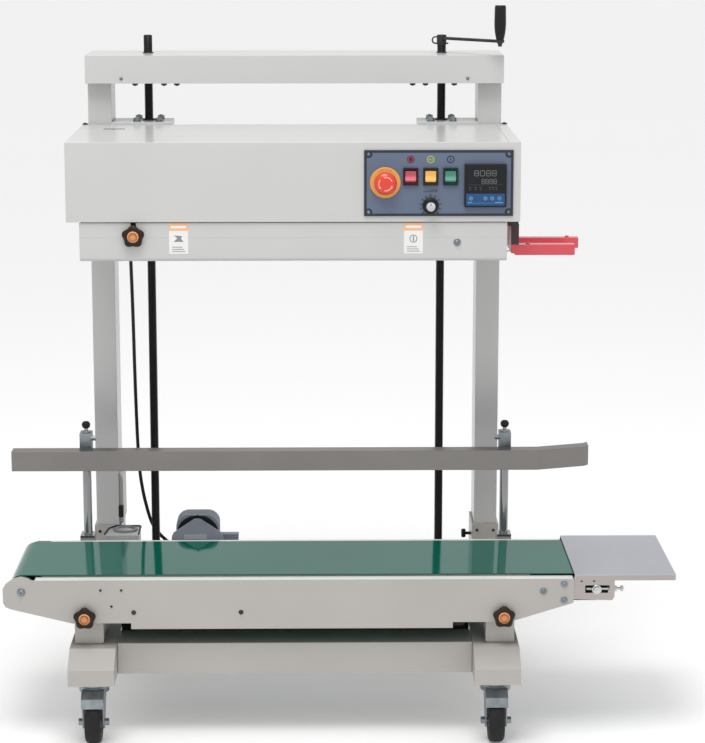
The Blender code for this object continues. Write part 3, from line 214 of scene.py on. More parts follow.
def build_materials():
    """Every look. After its name, colour and roughness come grain, bump, mottle, metallic and patches."""
    surface("paint", (0.505, 0.505, 0.5), 0.3, 700, 0.1, 0.015, Coat_Weight=0.25, Coat_Roughness=0.15)
    # The base's creamier paint, also made darker than the head's to stand in for the weaker light low down:
    # partly painted shade.
    surface("shaded_base_paint", (0.405, 0.388, 0.362), 0.36, 700, 0.1, Coat_Weight=0.15, Coat_Roughness=0.2)
    # Painted highlight: a pale paint for the panels' top flanges, standing in for the overhead light
    # catching them.
    surface("flange_highlight_paint", (0.7, 0.71, 0.69), 0.34, 700, 0.1, 0.02, Coat_Weight=0.2)
    # Dark grey for the casing's seam line, and as painted shade for the strip under the cover's rolled hem.
    surface("seam_and_hem_shade", (0.2, 0.2, 0.19), 0.45, 700, 0.1, 0.04)
    surface("panel", (0.1, 0.13, 0.195), 0.42, 1500, 0.08)
    surface("navy", (0.012, 0.018, 0.035), 0.4, 1500, 0.06, 0.1)
    dull("bezel_red", (0.03, 0.006, 0.012), 0.4, 1200, 0.15, 0.1)
    dull("bezel_amber", (0.018, 0.014, 0.012), 0.4, 1200, 0.15, 0.1)
    dull("bezel_green", (0.006, 0.022, 0.02), 0.4, 1200, 0.15, 0.1)
    dull("black", (0.012, 0.011, 0.011), 0.42, 1200, 0.25, 0.2)
    dull("gloss_black", (0.01, 0.012, 0.015), 0.18, 300, 0.02, 0.1)
    dull("knob_brown", (0.022, 0.012, 0.008), 0.42, 1200, 0.2, 0.2)
    dull("orange", (0.72, 0.3, 0.12), 0.55, 900, 0.05, 0.05)
    dull("screw", (0.007, 0.0075, 0.0075), 0.4, 600, 0.3, 0.4, 0.0, 60)
    surface("dark", (0.05, 0.05, 0.055), 0.38, 800, 0.2, 0.3, 0.8, 40)
    surface("steel", (0.55, 0.55, 0.55), 0.26, 500, 0.1, 0.08, 1.0)
    surface("chrome", (0.3, 0.3, 0.31), 0.14, 600, 0.02, 0.05, 1.0, spread=0.03)
    surface("stainless", (0.215, 0.205, 0.198), 0.34, 900, 0.16, 0.06, 1.0, brushed="X", Anisotropic=0.4)
    surface("bracket", (0.42, 0.385, 0.37), 0.42, 900, 0.1, 0.06, 1.0, brushed="X", Anisotropic=0.3)
    surface("table", (0.5, 0.5, 0.56), 0.32, 700, 0.05, 0.03, 1.0, brushed="Y", Anisotropic=0.3)
    surface("zinc", (0.24, 0.27, 0.29), 0.36, 500, 0.15, 0.25, 0.9, 50)
    surface("belt", (0.001, 0.1, 0.07), 0.07, 1400, 0.008, 0.1, 0.0, 4, spread=0.02,
            Specular_IOR_Level=0.16, Specular_Tint=(0.3, 1.0, 0.95, 1.0))
    surface("belt_side", (0.16, 0.18, 0.15), 0.8, 1500, 0.5, 0.2)
    surface("band", (0.26, 0.15, 0.075), 0.42, 1800, 0.4, 0.15, 0.0, 30)
    surface("red_guide", (0.6, 0.06, 0.08), 0.24, 700, 0.1, 0.05, Coat_Weight=0.4, Coat_Roughness=0.1)
    surface("brown_block", (0.045, 0.02, 0.022), 0.45, 900, 0.2, 0.2)
    surface("button", (0.62, 0.04, 0.014), 0.28, 900, 0.04, 0.04, Coat_Weight=0.4)
    surface("button_mark", (0.9, 0.3, 0.24), 0.4, 900, 0.05)
    surface("yellow", (0.72, 0.33, 0.06), 0.36, 900, 0.06, 0.06)
    surface("key_strip", (0.006, 0.055, 0.165), 0.3, 900, 0.03, 0.06)
    surface("silver", (0.62, 0.63, 0.66), 0.24, 900, 0.08, 0.05, 1.0)
    surface("motor", (0.27, 0.295, 0.355), 0.4, 500, 0.35, 0.1, 0.1, 25)
    surface("plate", (0.46, 0.49, 0.54), 0.4, 900, 0.05, 0.03, 0.2, brushed="X")
    dull("tyre", (0.014, 0.014, 0.015), 0.62, 700, 0.35, 0.25, 0.0, 40)
    dull("hub", (0.1, 0.1, 0.105), 0.5, 700, 0.2, 0.2)
    dull("cable", (0.012, 0.012, 0.013), 0.45, 900, 0.2, 0.2)
    # Near-black that stands in for the shade inside slots and gaps: painted shade.
    dull("cavity", (0.012, 0.012, 0.012), 0.8, 500, 0.1)
    prints = (
        ("white_print", (0.72, 0.72, 0.7), 0.5),
        ("grey_print", (0.22, 0.22, 0.24), 0.5),
        ("orange_print", (0.8, 0.42, 0.22), 0.5),
        ("maroon_print", (0.16, 0.012, 0.035), 0.45),
        ("olive_print", (0.34, 0.36, 0.07), 0.45),
        ("teal_print", (0.008, 0.03, 0.05), 0.45),
        ("key_print", (0.1, 0.3, 0.56), 0.4),
        ("digit", (0.16, 0.17, 0.165), 0.35),
        ("digit_dim", (0.07, 0.065, 0.065), 0.35),
    )
    for look in prints:
        surface(*look, 900, 0.03)
    lenses = (("red", (0.36, 0.02, 0.045), 0.62), ("amber", (0.74, 0.36, 0.06), 0.3),
              ("green", (0.005, 0.15, 0.095), 0.55))
    for colour, tint, power in lenses:
        bottom, top = (corner.z for corner in box_of("rocker_" + colour))
        glowing("lens_" + colour, tint, power, bottom, top)


# ---- outlines
def polar(centre, radius, angle):
    return centre[0] + radius * math.cos(angle), centre[1] + radius * math.sin(angle)


def circle(centre, radius, count=32, start=0.0):
    return [polar(centre, radius, start + 2 * math.pi * i / count) for i in range(count)]


def rectangle(x, z):
    return [(x[0], z[0]), (x[1], z[0]), (x[1], z[1]), (x[0], z[1])]


def around(centre, width, height=None):
    half_w, half_h = width / 2, (height or width) / 2
    return rectangle((centre[0] - half_w, centre[0] + half_w), (centre[1] - half_h, centre[1] + half_h))


def stadium(first, second, radius, steps=24):
    points = []
    for centre, start in ((second, -90.0), (first, 90.0)):
        points += [polar(centre, radius, math.radians(start + 180.0 * step / steps))
                   for step in range(steps + 1)]
    return points


def rounded_square(centre, half, radius, steps=8):
    points = []
    for quarter in range(4):
        start = quarter * math.pi / 2
        hub = polar(centre, (half - radius) * math.sqrt(2), math.pi / 4 + start)
        points += [polar(hub, radius, start + step * math.pi / 2 / steps) for step in range(steps + 1)]
    return points


# ---- drawing functions
AXES = {
    "X": Matrix(((0, 0, 1), (1, 0, 0), (0, 1, 0))).to_4x4(),
    "-X": Matrix(((0, 0, -1), (-1, 0, 0), (0, 1, 0))).to_4x4(),
    "Y": Matrix(((1, 0, 0), (0, 0, 1), (0, -1, 0))).to_4x4(),
    "-Y": Matrix(((1, 0, 0), (0, 0, -1), (0, 1, 0))).to_4x4(),
    "Z": Matrix.Identity(4),
    "-Z": Matrix(((1, 0, 0), (0, -1, 0), (0, 0, -1))).to_4x4(),
}
SIXTH = math.pi / 3


def stitch(shape, first, second):
    """Faces between two rings of vertices, either of which may be a single vertex."""
    count = max(len(first), len(second))
    for i in range(count):
        j = (i + 1) % count
        corners = [ring[k % len(ring)] for ring, k in ((first, i), (first, j), (second, j), (second, i))]
        corners = list(dict.fromkeys(corners))
        if len(corners) > 2:
            shape.faces.new(corners)


def box(shape, low, high):
    size = Matrix.Diagonal((*[b - a for a, b in zip(low, high)], 1.0))
    centre = Matrix.Translation([(a + b) / 2 for a, b in zip(low, high)])
    bmesh.ops.create_cube(shape, size=1.0, matrix=centre @ size)


def lathe(shape, profile, origin, axis="Z", steps=32, wave=None):
    """Turns (radius, height) pairs about an axis. Radius 0 closes the end; wave(angle, radius) shapes it."""
    turn = AXES[axis] if isinstance(axis, str) else axis.to_track_quat("Z", "Y").to_matrix().to_4x4()
    turn = Matrix.Translation(origin) @ turn
    rings = []
    for radius, height in profile:
        ring = []
        for step in range(steps if radius else 1):
            angle = 2 * math.pi * step / steps
            r = wave(angle, radius) if wave and radius else radius
            ring.append(shape.verts.new(turn @ Vector((*polar((0, 0), r * MM, angle), height * MM))))
        rings.append(ring)
    pairs = list(zip(rings, rings[1:]))
    if profile[0][0] > 0 and profile[-1][0] > 0:
        pairs.append((rings[-1], rings[0]))
    for first, second in pairs:
        stitch(shape, first, second)


def bar(shape, start, end, radius, sides=20, chamfer=0.0):
    """A round bar between two points, with chamfered ends."""
    length = (end - start).length / MM
    profile = [(0, 0), (radius - chamfer, 0), (radius - chamfer, length), (0, length)]
    if chamfer:
        profile[2:2] = [(radius, chamfer), (radius, length - chamfer)]
    lathe(shape, profile, start, end - start, sides)


def lay(axis, u, v, w):
    """X, Y and Z, from two coordinates across an axis, in the other two axes' order, and one along it."""
    return {"X": (w, u, v), "Y": (u, w, v), "Z": (u, v, w)}[axis]


def slab(shape, corners, shift):
    """An outline of points made solid by a shift."""
    rings = [[shape.verts.new(corner + step) for corner in corners] for step in (Vector((0, 0, 0)), shift)]
    shape.faces.new(rings[0][::-1])
    shape.faces.new(rings[1])
    stitch(shape, *rings)


def prism(shape, outline, axis, low, high):
    """A flat outline made solid along X, Y or Z."""
    slab(shape, [Vector(lay(axis, u, v, low)) for u, v in outline], Vector(lay(axis, 0, 0, high - low)))


def ring_prism(shape, outer, inner, axis, low, high):
    """A flat ring between two outlines with the same number of points, made solid."""
    loops = [[shape.verts.new(lay(axis, *point, w)) for point in loop] for loop in (outer, inner)
             for w in (low, high)]
    for a, b in ((0, 1), (1, 3), (3, 2), (2, 0)):
        stitch(shape, loops[a], loops[b])


def sweep(shape, points, radius, sides=12):
    """A round tube along points, closed at both ends; its radius is in metres."""
    rings = []
    side = None
    for i, point in enumerate(points):
        ahead = points[min(i + 1, len(points) - 1)] - points[max(i - 1, 0)]
        along = ahead.normalized()
        side = (side - along * side.dot(along)).normalized() if side else along.orthogonal().normalized()
        up = along.cross(side)
        turns = [2 * math.pi * k / sides for k in range(sides)]
        rings.append([shape.verts.new(point + radius * (side * math.cos(a) + up * math.sin(a)))
                      for a in turns])
    for first, second in zip(rings, rings[1:]):
        stitch(shape, first, second)
    shape.faces.new(rings[0][::-1])
    shape.faces.new(rings[-1])


def socket_screw(shape, centre, axis, radius, height, socket=0.45):
    """A domed screw head with a hexagon socket."""
    def hexagon(angle, r):
        if r > radius * socket * 1.01:
            return r
        return r * math.cos(SIXTH / 2) / math.cos((angle % SIXTH) - SIXTH / 2)

    dome = [(0, 0), (1, 0), (1, 0.35), (0.93, 0.7), (0.75, 0.95), (0.6, 1)]
    shares = [*dome, (socket, 1), (socket, 0.35), (0, 0.35)]
    lathe(shape, [(radius * r, height * h) for r, h in shares], centre, axis, 24, hexagon)


def hex_head(shape, centre, axis, radius, height):
    """A hexagon head or nut with chamfered corners and the end of its bolt."""
    def hexagon(angle, r):
        return min(r, radius * math.cos(SIXTH / 2) / math.cos((angle % SIXTH) - SIXTH / 2))

    shares = [(0, 0), (0.94, 0), (1, 0.15), (1, 0.85), (0.9, 1), (0.45, 1), (0.4, 1.25), (0, 1.25)]
    lathe(shape, [(radius * r, height * h) for r, h in shares], centre, axis, 36, hexagon)


def washer(shape, centre, axis, radius, height):
    profile = [(0, 0), (radius, 0), (radius, height * 0.7), (radius - height * 0.3, height), (0, height)]
    lathe(shape, profile, centre, axis, 28)


def cad_mesh(shape, node):
    """The node's own mesh, with the triangles of each flat face joined."""
    shape.from_mesh(frame["nodes"][node].data)
    bmesh.ops.remove_doubles(shape, verts=shape.verts, dist=0.000002)
    bmesh.ops.dissolve_limit(shape, angle_limit=math.radians(0.4), verts=shape.verts, edges=shape.edges)


# ---- pieces
def piece(name, body, slot, look, *parts, bevel=0.0, smooth=35.0, segments=2):
    """A named piece that rides on a body and wears a look. A part is a drawing function and its values."""
    shape = bmesh.new()
    for draw, *values in parts:
        draw(shape, *values)
    bmesh.ops.recalc_face_normals(shape, faces=shape.faces)
    mesh = bpy.data.meshes.new(name)
    shape.to_mesh(mesh)
    shape.free()
    obj = new_object(name, mesh)
    mesh.materials.append(LOOKS[look])
    mesh.shade_smooth()
    mesh.set_sharp_from_angle(angle=math.radians(smooth))
    if bevel:
        edges = obj.modifiers.new("edges", "BEVEL")
        edges.width = bevel
        edges.segments = segments
        edges.limit_method = "ANGLE"
        edges.angle_limit = math.radians(smooth)
        edges.harden_normals = True
    if body:
        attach(obj, body)
    return obj


def refined(node, look, bevel=0.001, segments=2, smooth=35.0):
    """The CAD piece with its edges rounded and its round faces shaded smooth; it stands for the node."""
    finish = {"bevel": bevel, "segments": segments, "smooth": smooth}
    obj = piece(node + "_skin", BODY_OF[node], SLOT_OF[node], look, (cad_mesh, node), **finish)
    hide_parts(node)
    return obj


def dress(node, look):
    """Gives a CAD node that keeps its own shape its material."""
    for slot in frame["nodes"][node].material_slots:
        slot.material = LOOKS[look]


def screws(name, places, axis, radius, body, slot="bright_steel", look="zinc", washer_ratio=1.0,
           height=None):
    """Socket screws as one piece, on washers where the ratio of the washer's radius to theirs is over 1."""
    parts = []
    for place in places:
        lift = 0.0
        if washer_ratio > 1.0:
            parts.append((washer, place, axis, radius * washer_ratio, 0.9))
            lift = 0.8
        raised = Vector(place) + AXES[axis] @ Vector((0, 0, lift * MM))
        parts.append((socket_screw, raised, axis, radius, height or radius * 0.7))
    return piece(name, body, slot, look, *parts)


def bolt(place, axis, washer_size, head_size):
    """A washer and the hexagon head on it, each given by its radius and height."""
    raised = place + AXES[axis] @ Vector((0, 0, washer_size[1] * MM))
    return [(washer, place, axis, *washer_size), (hex_head, raised, axis, *head_size)]


def printed(face, *outlines, thick=0.0003):
    """Flat outlines printed on a face that looks towards -Y."""
    return [(prism, outline, "Y", face - thick, face) for outline in outlines]


# ---- cable
CABLE_ROUTE = [
    (-0.305, 0.12, 0.874), (-0.305, 0.12, 0.85), (-0.305, 0.121, 0.825),
    (-0.3046, 0.125, 0.78), (-0.3038, 0.132, 0.72), (-0.3032, 0.139, 0.65),
    (-0.3028, 0.146, 0.58), (-0.302, 0.152, 0.51), (-0.3006, 0.158, 0.44),
    (-0.2984, 0.164, 0.385), (-0.294, 0.176, 0.34), (-0.2885, 0.19, 0.305),
    (-0.283, 0.204, 0.277), (-0.2764, 0.2135, 0.2575), (-0.2657, 0.218, 0.241),
    (-0.253, 0.216, 0.2292), (-0.2385, 0.2085, 0.219), (-0.226, 0.2, 0.2085),
    (-0.219, 0.1955, 0.1985), (-0.218, 0.195, 0.1925), (-0.218, 0.195, 0.1885),
]
CABLE_DIAMETER = 0.0065


def smooth_route(points, spacing):
    """Points on a smooth curve through the route, about the given spacing apart."""
    route = [at(*point) for point in points]
    padded = [2 * route[0] - route[1]] + route + [2 * route[-1] - route[-2]]
    result = [route[0]]
    for i in range(1, len(padded) - 2):
        before, start, end, after = padded[i - 1 : i + 3]
        steps = max(1, round((end - start).length / spacing))
        for step in range(1, steps + 1):
            t = step / steps
            bend = (2 * before - 5 * start + 4 * end - after) * t * t
            twist = (3 * start - before - 3 * end + after) * t * t * t
            result.append(0.5 * (2 * start + (end - before) * t + bend + twist))
    return result


def build_cable():
    route = smooth_route(CABLE_ROUTE, 0.006)
    cable = piece("motor_cable_jacket", None, "cable_black", "cable", (sweep, route, CABLE_DIAMETER / 2, 14))
    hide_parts("motor_cable")
    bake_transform(cable)
    gland = [(9.8, -12.5), (9.8, -6), (8.5, -4), (7.8, 0), (6, 8), (4.2, 13), (3.6, 13), (3.6, -12.5)]
    for name, place, axis, body in (("cable_gland_top", route[0], "-Z", "head"),
                                    ("cable_gland_low", route[-1], "Z", "frame")):
        piece(name, body, "cable_black", "black", (lathe, gland, place, axis, 24))


# ---- painted frame
SOCKET_TOP = 0.278


def build_base():
    for side in SIDES:
        refined("foot_" + side, "shaded_base_paint", 0.0016, 3)
        refined("post_" + side, "paint", 0.0016, 3)
        low, high = box_of("post_" + side)
        places = [(x, low.y - 0.0038, SOCKET_TOP - 0.012) for x in (low.x + 0.006, high.x - 0.006)]
        screws("socket_screws_" + side, places, "-Y", 2.8, "frame", "dark_steel", "dark")
    refined("front_crossbar", "shaded_base_paint", 0.0016, 3)
    refined("rear_crossbar", "shaded_base_paint")
    low, high = box_of("front_crossbar")
    # A near-black strip behind the front crossbar's top that stands in for the shade under the conveyor:
    # painted shade.
    piece("crossbar_shade_lip", "frame", "black_plastic", "cavity",
          (box, (low.x + 0.002, high.y - 0.001, 0.14), (high.x - 0.002, high.y + 0.002, 0.188)))
    inner = at(0.3336, 0.185, 0.25)
    grip = [(0, 0), (7.5, 0), (8.5, 1.5), (8.5, 6), (7, 8), (0, 8)]
    piece("socket_thumb_screw", "frame", "black_plastic", "black",
          (bar, inner, inner - Vector((0.012, 0, 0)), 3, 16, 0.5),
          (lathe, grip, inner - Vector((0.01, 0, 0)), "-X", 24))
    inner = box_of("post_left")[1].x
    strip = [(0, 0.281), (0.0075, 0.281), (0.0075, 0.362), (0.006, 0.37), (0.003, 0.375), (0, 0.376)]
    piece("post_cable_strip", "frame", "bright_steel", "shaded_base_paint",
          (prism, [(inner + across, height) for across, height in strip], "Y", 0.156, 0.232), bevel=0.0008)
    piece("post_cable_clip", "frame", "black_plastic", "black",
          (box, (inner - 0.0012, 0.1485, 0.293), (inner + 0.0078, 0.168, 0.315)), bevel=0.001)


def build_beam():
    refined("cross_beam", "paint", 0.004, 4)
    low, high = box_of("cross_beam")
    bush = [(9.8, 0), (9.8, 1.2), (9.4, 1.8), (8.6, 1.8), (8.6, 0)]
    for side, sign in SIDES.items():
        cap = (low.x + 0.0015, low.x + 0.0045) if sign < 0 else (high.x - 0.0045, high.x - 0.0015)
        piece("beam_end_" + side, "frame", "cream_paint", "paint",
              (box, (cap[0], low.y + 0.0035, low.z + 0.0035), (cap[1], high.y - 0.0035, high.z - 0.0035)),
              bevel=0.001)
        centre = middle("lead_screw_" + side)
        piece("beam_bush_" + side, "frame", "dark_steel", "dark",
              (lathe, bush, (centre.x, centre.y, high.z)), (lathe, bush, (centre.x, centre.y, low.z), "-Z"))
        nuts = []
        for x, y in ((0.293, 0.15), (0.24, 0.15), (0.2165, 0.15), (0.293, 0.24), (0.24, 0.24)):
            nuts += bolt(at(sign * x, y, low.z), "-Z", (6.2, 1), (5.2, 4.5))
        piece("beam_nuts_" + side, "frame", "dark_steel", "dark", *nuts)
        set_screw = at(sign * 0.316, low.y, 1.125)
        screws("beam_screw_" + side, [set_screw], "-Y", 3, "frame", "dark_steel")
    dress("lift_chain", "dark")


THREAD_PITCH = 0.004
THREAD_BOTTOM = 0.2
SPROCKET_BOTTOM = 1.136
SCREW_RADIUS, ROOT_RADIUS = 8.0, 7.1


def thread(shape, centre, turns, steps=16):
    """A right-hand thread of the given number of turns, from THREAD_BOTTOM up."""
    section = [(ROOT_RADIUS, 0.0), (SCREW_RADIUS, 0.22), (SCREW_RADIUS, 0.55), (ROOT_RADIUS, 0.77),
               (ROOT_RADIUS, 1.0)]
    previous = None
    for step in range(turns * steps + 1):
        angle = 2 * math.pi * step / steps
        base = THREAD_BOTTOM + THREAD_PITCH * step / steps
        ring = [shape.verts.new((*polar(centre, r * MM, angle), base + THREAD_PITCH * part))
                for r, part in section]
        if previous:
            for k in range(len(ring) - 1):
                shape.faces.new([previous[k], ring[k], ring[k + 1], previous[k + 1]])
        previous = ring
    bmesh.ops.remove_doubles(shape, verts=shape.verts, dist=0.00002)


def build_lead_screws():
    """Real threads between the foot's bearing and the beam, and plain ends with the sprocket."""
    top = box_of("lift_chain")[0].z - 0.012
    for side in SIDES:
        node = "lead_screw_" + side
        low, high = box_of(node)
        centre = (low + high) / 2
        foot = (THREAD_BOTTOM - low.z) / MM
        lower = [(0, 0), (7, 0), (8, 1), (8, foot), (ROOT_RADIUS, foot + 4), (0, foot + 4)]
        start, end = (top - SPROCKET_BOTTOM) / MM, (high.z - SPROCKET_BOTTOM) / MM
        sprocket = [(7.9, -6), (13, -6), (13, 0), (22.5, 0), (22.5, 6), (13, 6), (13, 10), (7.9, 10)]
        upper = [(0, start - 2), (ROOT_RADIUS, start - 2), (7.9, start + 3), *sprocket,
                 (7.9, end - 1.5), (6.4, end), (0, end)]
        screw = piece(node + "_threaded", BODY_OF[node], SLOT_OF[node], "screw",
                      (thread, centre, int((top - THREAD_BOTTOM) / THREAD_PITCH)),
                      (lathe, lower, (centre.x, centre.y, low.z), "Z", 24),
                      (lathe, upper, (centre.x, centre.y, SPROCKET_BOTTOM)), smooth=50)
        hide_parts(node)


EYE_BOTTOM = 1.1815


def build_crank():
    """The grip, the flat arm with its eye, and the hitch ring whose pin goes through the hub."""
    low, high = box_of("crank_grip")
    axis = (low + high) / 2
    tall = (high.z - low.z) / MM
    shares = [(6.8, 0.0), (7.9, 0.07), (9.4, 0.2), (10.4, 0.34), (10.7, 0.48), (10.5, 0.7), (10.2, 0.93),
              (9.8, 0.98), (9.0, 1.0), (0, 1.0)]
    grip = [(0, tall * 0.8), (4.3, tall * 0.8), (4.3, 0)] + [(r, tall * share) for r, share in shares]
    skin = piece("crank_grip_skin", "crank_grip", "black_plastic", "black",
                 (lathe, grip, (axis.x, axis.y, low.z), "Z", 40), smooth=50)
    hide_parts("crank_grip")

    hub = middle("lead_screw_right")
    reach = Vector((axis.x - hub.x, axis.y - hub.y, 0)).normalized()
    across = Vector((-reach.y, reach.x, 0)) * 0.0065
    near, far = Vector((hub.x, hub.y, 0)) + reach * 0.0083, Vector((axis.x, axis.y, 0))
    arm_z = (low.z - 0.0053, low.z - 0.0003)
    arm = [(c.x, c.y) for c in (near + across, near - across, far - across, far + across)]
    eye = [(8.1, 0), (8.6, 0), (9, 0.6), (9, 17), (8.6, 18), (8.1, 18)]
    pin = [(0, -7), (3.2, -7), (3.6, -6.6), (3.6, -2.8), (4.8, -2.8), (4.8, 0), (7.8, 0), (7.8, 5), (3.8, 5),
           (3.8, tall * 0.75), (0, tall * 0.75)]
    body = BODY_OF["crank_arm"]
    skin = piece("crank_arm_bar", body, SLOT_OF["crank_arm"], "dark", (prism, arm, "Z", *arm_z),
                 (lathe, eye, (hub.x, hub.y, EYE_BOTTOM), "Z", 40), (lathe, pin, (axis.x, axis.y, arm_z[0])),
                 smooth=30)
    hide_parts("crank_arm")
    turn = Vector((hub.x - 0.0113, hub.y, EYE_BOTTOM + 0.0085))
    bend = 0.006
    path = [Vector((hub.x + 0.0125, hub.y, turn.z - bend))]
    for step in range(13):
        x, z = polar((turn.x, turn.z), bend, math.radians(-90 - 15 * step))
        path.append(Vector((x, hub.y, z)))
    path.append(Vector((hub.x - 0.007, hub.y, turn.z + bend)))
    piece("crank_pin_ring", body, "dark_steel", "dark", (sweep, path, 0.0014, 10), smooth=60)


# ---- sealing head
def build_head():
    top = box_of("head_casing")[1].z
    refined("head_casing", "paint", 0.0014, 3)
    dress("head_base", "steel")
    dress("head_gearmotor", "motor")
    piece("casing_seam", "head", "cream_paint", "seam_and_hem_shade",
          (box, at(0.3697, -0.172, top - 0.0002), at(0.3703, 0.135, top + 0.00012)))
    piece("casing_slot_shadow", "head", "dark_steel", "cavity",
          (box, at(-0.344, 0.055, top - 0.001), at(-0.306, 0.064, top + 0.00015)),
          (box, at(-0.327, 0.045, top - 0.001), at(-0.322, 0.0475, top + 0.00015)))
    nut = [(12.5, 0), (12.5, 1.8), (11.5, 2.6), (8.8, 2.6), (8.8, 0)]
    for side, sign in SIDES.items():
        refined("lift_carriage_" + side, "paint", 0.0022, 3)
        plate_top = box_of("lift_carriage_" + side)[1].z
        bolts = []
        for x, y in ((0.251, 0.165), (0.292, 0.165), (0.251, 0.222), (0.292, 0.222)):
            bolts += bolt(at(sign * x, y, plate_top), "Z", (7.5, 1.2), (6.4, 5.5))
        piece("carriage_bolts_" + side, "head", "dark_steel", "zinc", *bolts)
        piece("carriage_grub_screws_" + side, "head", "dark_steel", "dark",
              *[(hex_head, at(sign * x, 0.15, 1.0365), "Z", 5, 4.5) for x in (0.3315, 0.3861)])
        centre = middle("lead_screw_" + side)
        piece("lift_nut_" + side, "head", "dark_steel", "dark",
              (lathe, nut, (centre.x, centre.y, plate_top), "Z", 36))


def build_front_cover():
    """The cover sheet with its lower edge rolled back under, a dark strip behind the hem painted as its
    shade, the slot for its knob and its screw.
    """
    low, high = box_of("front_cover")
    sheet, hem = 0.0015, 0.0075
    inside = hem - sheet
    quarter = [math.pi / 2 * step / 8 for step in range(9)]
    outline = [(low.y + sheet, high.z), (low.y, high.z)]
    outline += [(low.y + hem * (1 - math.cos(a)), low.z + hem * (1 - math.sin(a))) for a in quarter]
    outline += [(low.y + hem - inside * math.cos(a), low.z + hem - inside * math.sin(a))
                for a in reversed(quarter)]
    knob = middle("cover_knob")
    slot = (knob.x - 0.0045, knob.x + 0.0045)
    slot_bottom = knob.z - 0.0045
    fronts = ((low.x, slot[0]), (slot[1], high.x))
    ends = ((low.x, low.x + sheet), (high.x - sheet, high.x))
    cover = piece("front_cover_skin", "head", "cream_paint", "paint",
                  (prism, [(y, min(z, slot_bottom)) for y, z in outline], "X", low.x, high.x),
                  *[(box, (a, low.y, slot_bottom), (b, low.y + sheet, high.z)) for a, b in fronts],
                  *[(box, (a, low.y + sheet, low.z + hem), (b, low.y + 0.04, high.z - 0.009))
                    for a, b in ends],
                  bevel=0.0004, smooth=20)
    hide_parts("front_cover")
    # A dark strip behind the rolled hem, standing in for the shade under the cover's lower edge: painted
    # shade.
    piece("cover_hem_shade_strip", "head", "black_plastic", "seam_and_hem_shade",
          (box, (low.x, low.y + 0.008, low.z + 0.0004), (high.x, low.y + 0.01, low.z + 0.01)), bevel=0.0005)
    piece("cover_slot_shadow", "head", "dark_steel", "cavity",
          (box, (slot[0] - 0.002, low.y + 0.0025, knob.z), (slot[1] + 0.002, low.y + 0.006, high.z - 0.001)))
    screws("cover_screw", [at(0.282, low.y, 0.866)], "-Y", 4.5, "head", washer_ratio=1.45)
    for number, x in enumerate((-0.1975, 0.2065)):
        build_sticker("safety_sticker_%d" % number, X_MID + x, low.y, (0.847, 0.9002), number)


def build_sticker(name, x, face, z, kind):
    """A two-part label with a generic sign and three rules for text."""
    half, thin = 0.0163, 0.00022
    header = z[1] - 0.0135
    wide = (x - half, x + half)
    front = face - thin
    centre = (x, (z[0] + header) / 2 + 0.006)
    band = rectangle((x - half * 0.82, x + half * 0.82), (header + 0.0045, header + 0.009))
    if kind:
        sign = [(ring_prism, circle(centre, 0.0068), circle(centre, 0.0054), "Y", front - thin, front)]
        marks = [around(centre, 0.002, 0.008)]
    else:
        sign = []
        press = [(-8.5, -5), (8.5, -5), (4, 0.5), (6, 5), (-8, 6), (-2, 1)]
        marks = [[(centre[0] + u * MM, centre[1] + v * MM) for u, v in press]]
    for row in range(3):
        height = z[0] + 0.0035 + 0.0038 * row
        marks.append(rectangle((x - half * 0.7, x + half * (0.7 - 0.15 * row)), (height, height + 0.0011)))
    for part, look, base, outlines in (("_body", "white_print", face, [rectangle(wide, (z[0], header))]),
                                       ("_header", "orange_print", face, [rectangle(wide, (header, z[1]))]),
                                       ("_bar", "white_print", front, [band])):
        piece(name + part, "head", "cream_paint", look, *printed(base, *outlines, thick=thin))
    piece(name + "_sign", "head", "cream_paint", "grey_print", *sign, *printed(front, *marks, thick=thin))


KNOB_CENTRES = {"cover_knob": (X_MID - 0.275, 0.878), "leg_knob_left": (X_MID - 0.3635, 0.224),
                "leg_knob_right": (X_MID + 0.3635, 0.224)}


def build_star_knob(node, stem):
    """A five-lobed clamping knob: rounded lobes, a boss behind and a snap-in cap."""
    lobes, boss, rim = 5, 8.5, 20.0

    def lobed(angle, r):
        share = max(0.0, (r - boss) / (rim - boss))
        return r * (1 - 0.085 * share * (1 - math.cos(lobes * (angle - math.pi / 2))))

    profile = [(7.2, 17), (7.6, 12.8), (15, 13), (18.4, 11.8), (19.7, 9.5), (rim, 7), (19.5, 4.2),
               (17.8, 2.2), (15, 1.6), (8.2, 1.6), (8, -2.6), (4, -2.6), (4, -stem), (0, -stem)]
    cap = [(0, 14.6), (7, 14.4), (9, 13.9), (9.9, 12.9), (10, 11), (0, 11)]
    x, z = KNOB_CENTRES[node]
    origin = (x, box_of(node)[0].y + 0.015, z)
    body = piece(node + "_lobes", node, "black_plastic", "knob_brown",
                 (lathe, profile, origin, "-Y", 70, lobed), smooth=50)
    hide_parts(node)
    piece(node + "_cap", node, "black_plastic", "orange", (lathe, cap, origin, "-Y", 40), smooth=60)


# ---- control panel
def corner_fillet(corner, hole, edge, radius, turn_x, turn_z):
    """The border's widening at a corner, its inner side cut to an arc round the screw."""
    first, last = math.radians(-20), math.radians(110)
    points = [(0.0, 0.0), (hole[0] + radius, 0.0)]
    for step in range(9):
        u, v = polar(hole, radius, first + (last - first) * step / 8)
        points.append((max(edge * 0.5, u), max(0.0, v)))
    points.append((0.0, hole[1] + radius))
    return [(corner[0] + turn_x * u, corner[1] + turn_z * v) for u, v in points]


